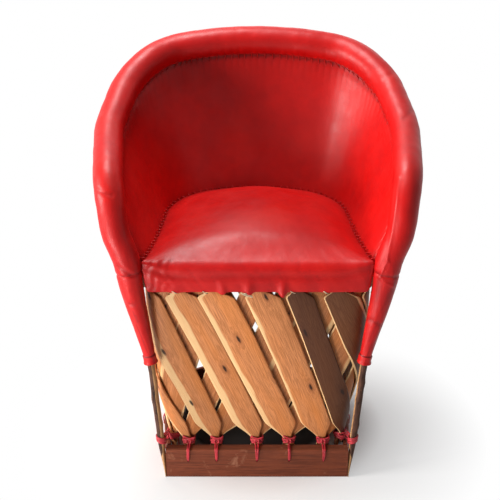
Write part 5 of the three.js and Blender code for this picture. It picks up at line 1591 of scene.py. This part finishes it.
class FinishFrame(bpy.types.Operator):
    """Gives the wooden frame pieces that keep their CAD shape their finishes"""
    bl_idname = "equipale.frame"
    bl_label = "Wooden Frame"

    FINISHES = {
        "board": ("base_front_board", "base_hoop", "seat_front_rail", "seat_hoop"),
        "frame_slat": ("seat_mat",) + tuple(f"back_stave_{i}" for i in range(1, 8)),
        "frame_stick": ("rim_hoop",),
    }

    def execute(self, context):
        for name, nodes in self.FINISHES.items():
            for node_name in nodes:
                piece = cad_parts[node_name]
                piece.data.materials.clear()
                piece.data.materials.append(finish(name))
        return {"FINISHED"}


# Name, place, aim, power, size and colour
LAMPS = (
    ("key", (-2.45, -0.75, 1.15), (0, 0, 0.5), 78, 0.8, (1.0, 0.97, 0.94)),
    ("fill", (-0.95, -1.15, 0.12), (-0.05, -0.2, 0.28), 15, 0.4, (1.0, 0.98, 0.96)),
    ("top", (-0.4, 0.3, 2.4), (0, 0, 0.5), 40, 0.7, (1.0, 1.0, 1.0)),
    ("back", (0.3, 2.2, 1.6), (0, 0, 0.5), 5, 1.4, (1.0, 1.0, 1.0)))
WHITE = (1.0, 1.0, 1.0, 1.0)
SENSOR = 36.0               # width in mm
# Painted shadow on the floor under the drum
DRUM_PAINTED_SHADOW = "#2c2420"
WORLD_STRENGTH = 0.09
FLOOR_REACH = 9.0           # metres from the middle to the floor's edges


class MakeStage(bpy.types.Operator):
    """Makes the camera, the floor and the lights"""
    bl_idname = "equipale.stage"
    bl_label = "Studio"

    def execute(self, context):
        scene = context.scene
        camera = bpy.data.objects.new("camera", bpy.data.cameras.new("camera"))
        camera.data.sensor_width = SENSOR
        camera.data.lens = SENSOR * PICTURE_FOCUS / (2 * PICTURE_MIDDLE)
        camera.data.clip_start = 0.05
        camera.location = [value * MM for value in EYE]
        camera.rotation_euler = (math.pi / 2 - EYE_TILT, 0, 0)
        scene.collection.objects.link(camera)
        scene.camera = camera
        make_floor()
        make_world(scene)
        for name, place, aim, power, width, colour in LAMPS:
            light = bpy.data.objects.new(name, bpy.data.lights.new(name, "AREA"))
            light.data.energy = power
            light.data.size = width
            light.data.color = colour
            light.location = place
            light.rotation_euler = (Vector(aim) - Vector(place)).to_track_quat("-Z", "Y").to_euler()
            scene.collection.objects.link(light)
        scene.view_settings.view_transform = "Standard"
        return {"FINISHED"}


def seen_share(look):
    """1 for the camera's rays, and for what gloss and glass show."""
    path = look.add("LightPath")
    seen = look.math("ADD", path.outputs["Is Camera Ray"], path.outputs["Is Glossy Ray"])
    return look.math("ADD", seen, path.outputs["Is Transmission Ray"], clamp=True)


def make_floor():
    """A pale floor that keeps the chair's shadow."""
    mesh = bpy.data.meshes.new("floor")
    corners = [(x * FLOOR_REACH, y * FLOOR_REACH, 0) for x, y in ((-1, -1), (1, -1), (1, 1), (-1, 1))]
    mesh.from_pydata(corners, [], [(0, 1, 2, 3)])
    floor = bpy.data.objects.new("floor", mesh)
    bpy.context.scene.collection.objects.link(floor)
    look = Finish("studio_floor")
    seen = seen_share(look)
    # The floor goes over into plain white away from the chair
    away = look.add("VectorMath", {0: look.place()}, operation="LENGTH").outputs["Value"]
    tint = look.mix(seen, colours().floor, WHITE)
    # Under the drum the floor is painted dark as a shadow, and no lamp reaches it
    tint = look.over(DRUM_PAINTED_SHADOW, tint, away, (0.15, 0.0), (0.19, 1.0))
    look.put(tint, look.shader.inputs["Base Color"])
    look.put(0.9, look.shader.inputs["Roughness"])
    share = look.math("MULTIPLY", look.ramp(away, (0.2, 0.0), (0.28, 0.5), (0.5, 1.0)), seen)
    white = look.add("Emission", {"Color": WHITE, "Strength": 1.0})
    shown = look.add("MixShader", {0: share, 1: look.shader.outputs[0], 2: white.outputs[0]})
    look.put(shown.outputs[0], look.tree.nodes["Material Output"].inputs["Surface"])
    mesh.materials.append(look.material)


def make_world(scene):
    """White for the camera, and a plain soft light for everything else."""
    world = bpy.data.worlds.new("studio")
    scene.world = world
    world.use_nodes = True
    look = Nodes(world.node_tree)
    soft, plain = (look.add("Background", {"Color": WHITE, "Strength": strength})
                   for strength in (WORLD_STRENGTH, 1.0))
    shown = look.add("MixShader", {0: seen_share(look), 1: soft.outputs[0], 2: plain.outputs[0]})
    look.put(shown.outputs[0], look.tree.nodes["World Output"].inputs["Surface"])


class EquipalePanel(bpy.types.Panel):
    """Lists the pieces and the settings"""
    bl_idname = "EQUIPALE_PT_pieces"
    bl_label = "Equipale Chair"
    bl_space_type = "VIEW_3D"
    bl_region_type = "UI"
    bl_category = "Equipale"

    def draw(self, context):
        for group in (context.scene.equipale_sizes, context.scene.equipale_colours):
            box = self.layout.box()
            for name in group.__annotations__:
                box.prop(group, name)
        for operator in OPERATORS:
            self.layout.operator(operator.bl_idname)


OPERATORS = (MakeStage, MakePanels, MakeRoll, MakeCuffs, MakeCushion, MakeSlats, MakePosts, MakeThongs,
             FinishFrame)
CLASSES = (ChairSizes, ChairColours, *OPERATORS, EquipalePanel)


def register():
    for item in CLASSES:
        bpy.utils.register_class(item)
    bpy.types.Scene.equipale_sizes = bpy.props.PointerProperty(type=ChairSizes)
    bpy.types.Scene.equipale_colours = bpy.props.PointerProperty(type=ChairColours)


def unregister():
    del bpy.types.Scene.equipale_colours
    del bpy.types.Scene.equipale_sizes
    for item in reversed(CLASSES):
        bpy.utils.unregister_class(item)


def main():
    register()
    for operator in OPERATORS:
        name = operator.bl_idname.split(".")[1]
        getattr(bpy.ops.equipale, name)()


if __name__ == "__main__":
    main()
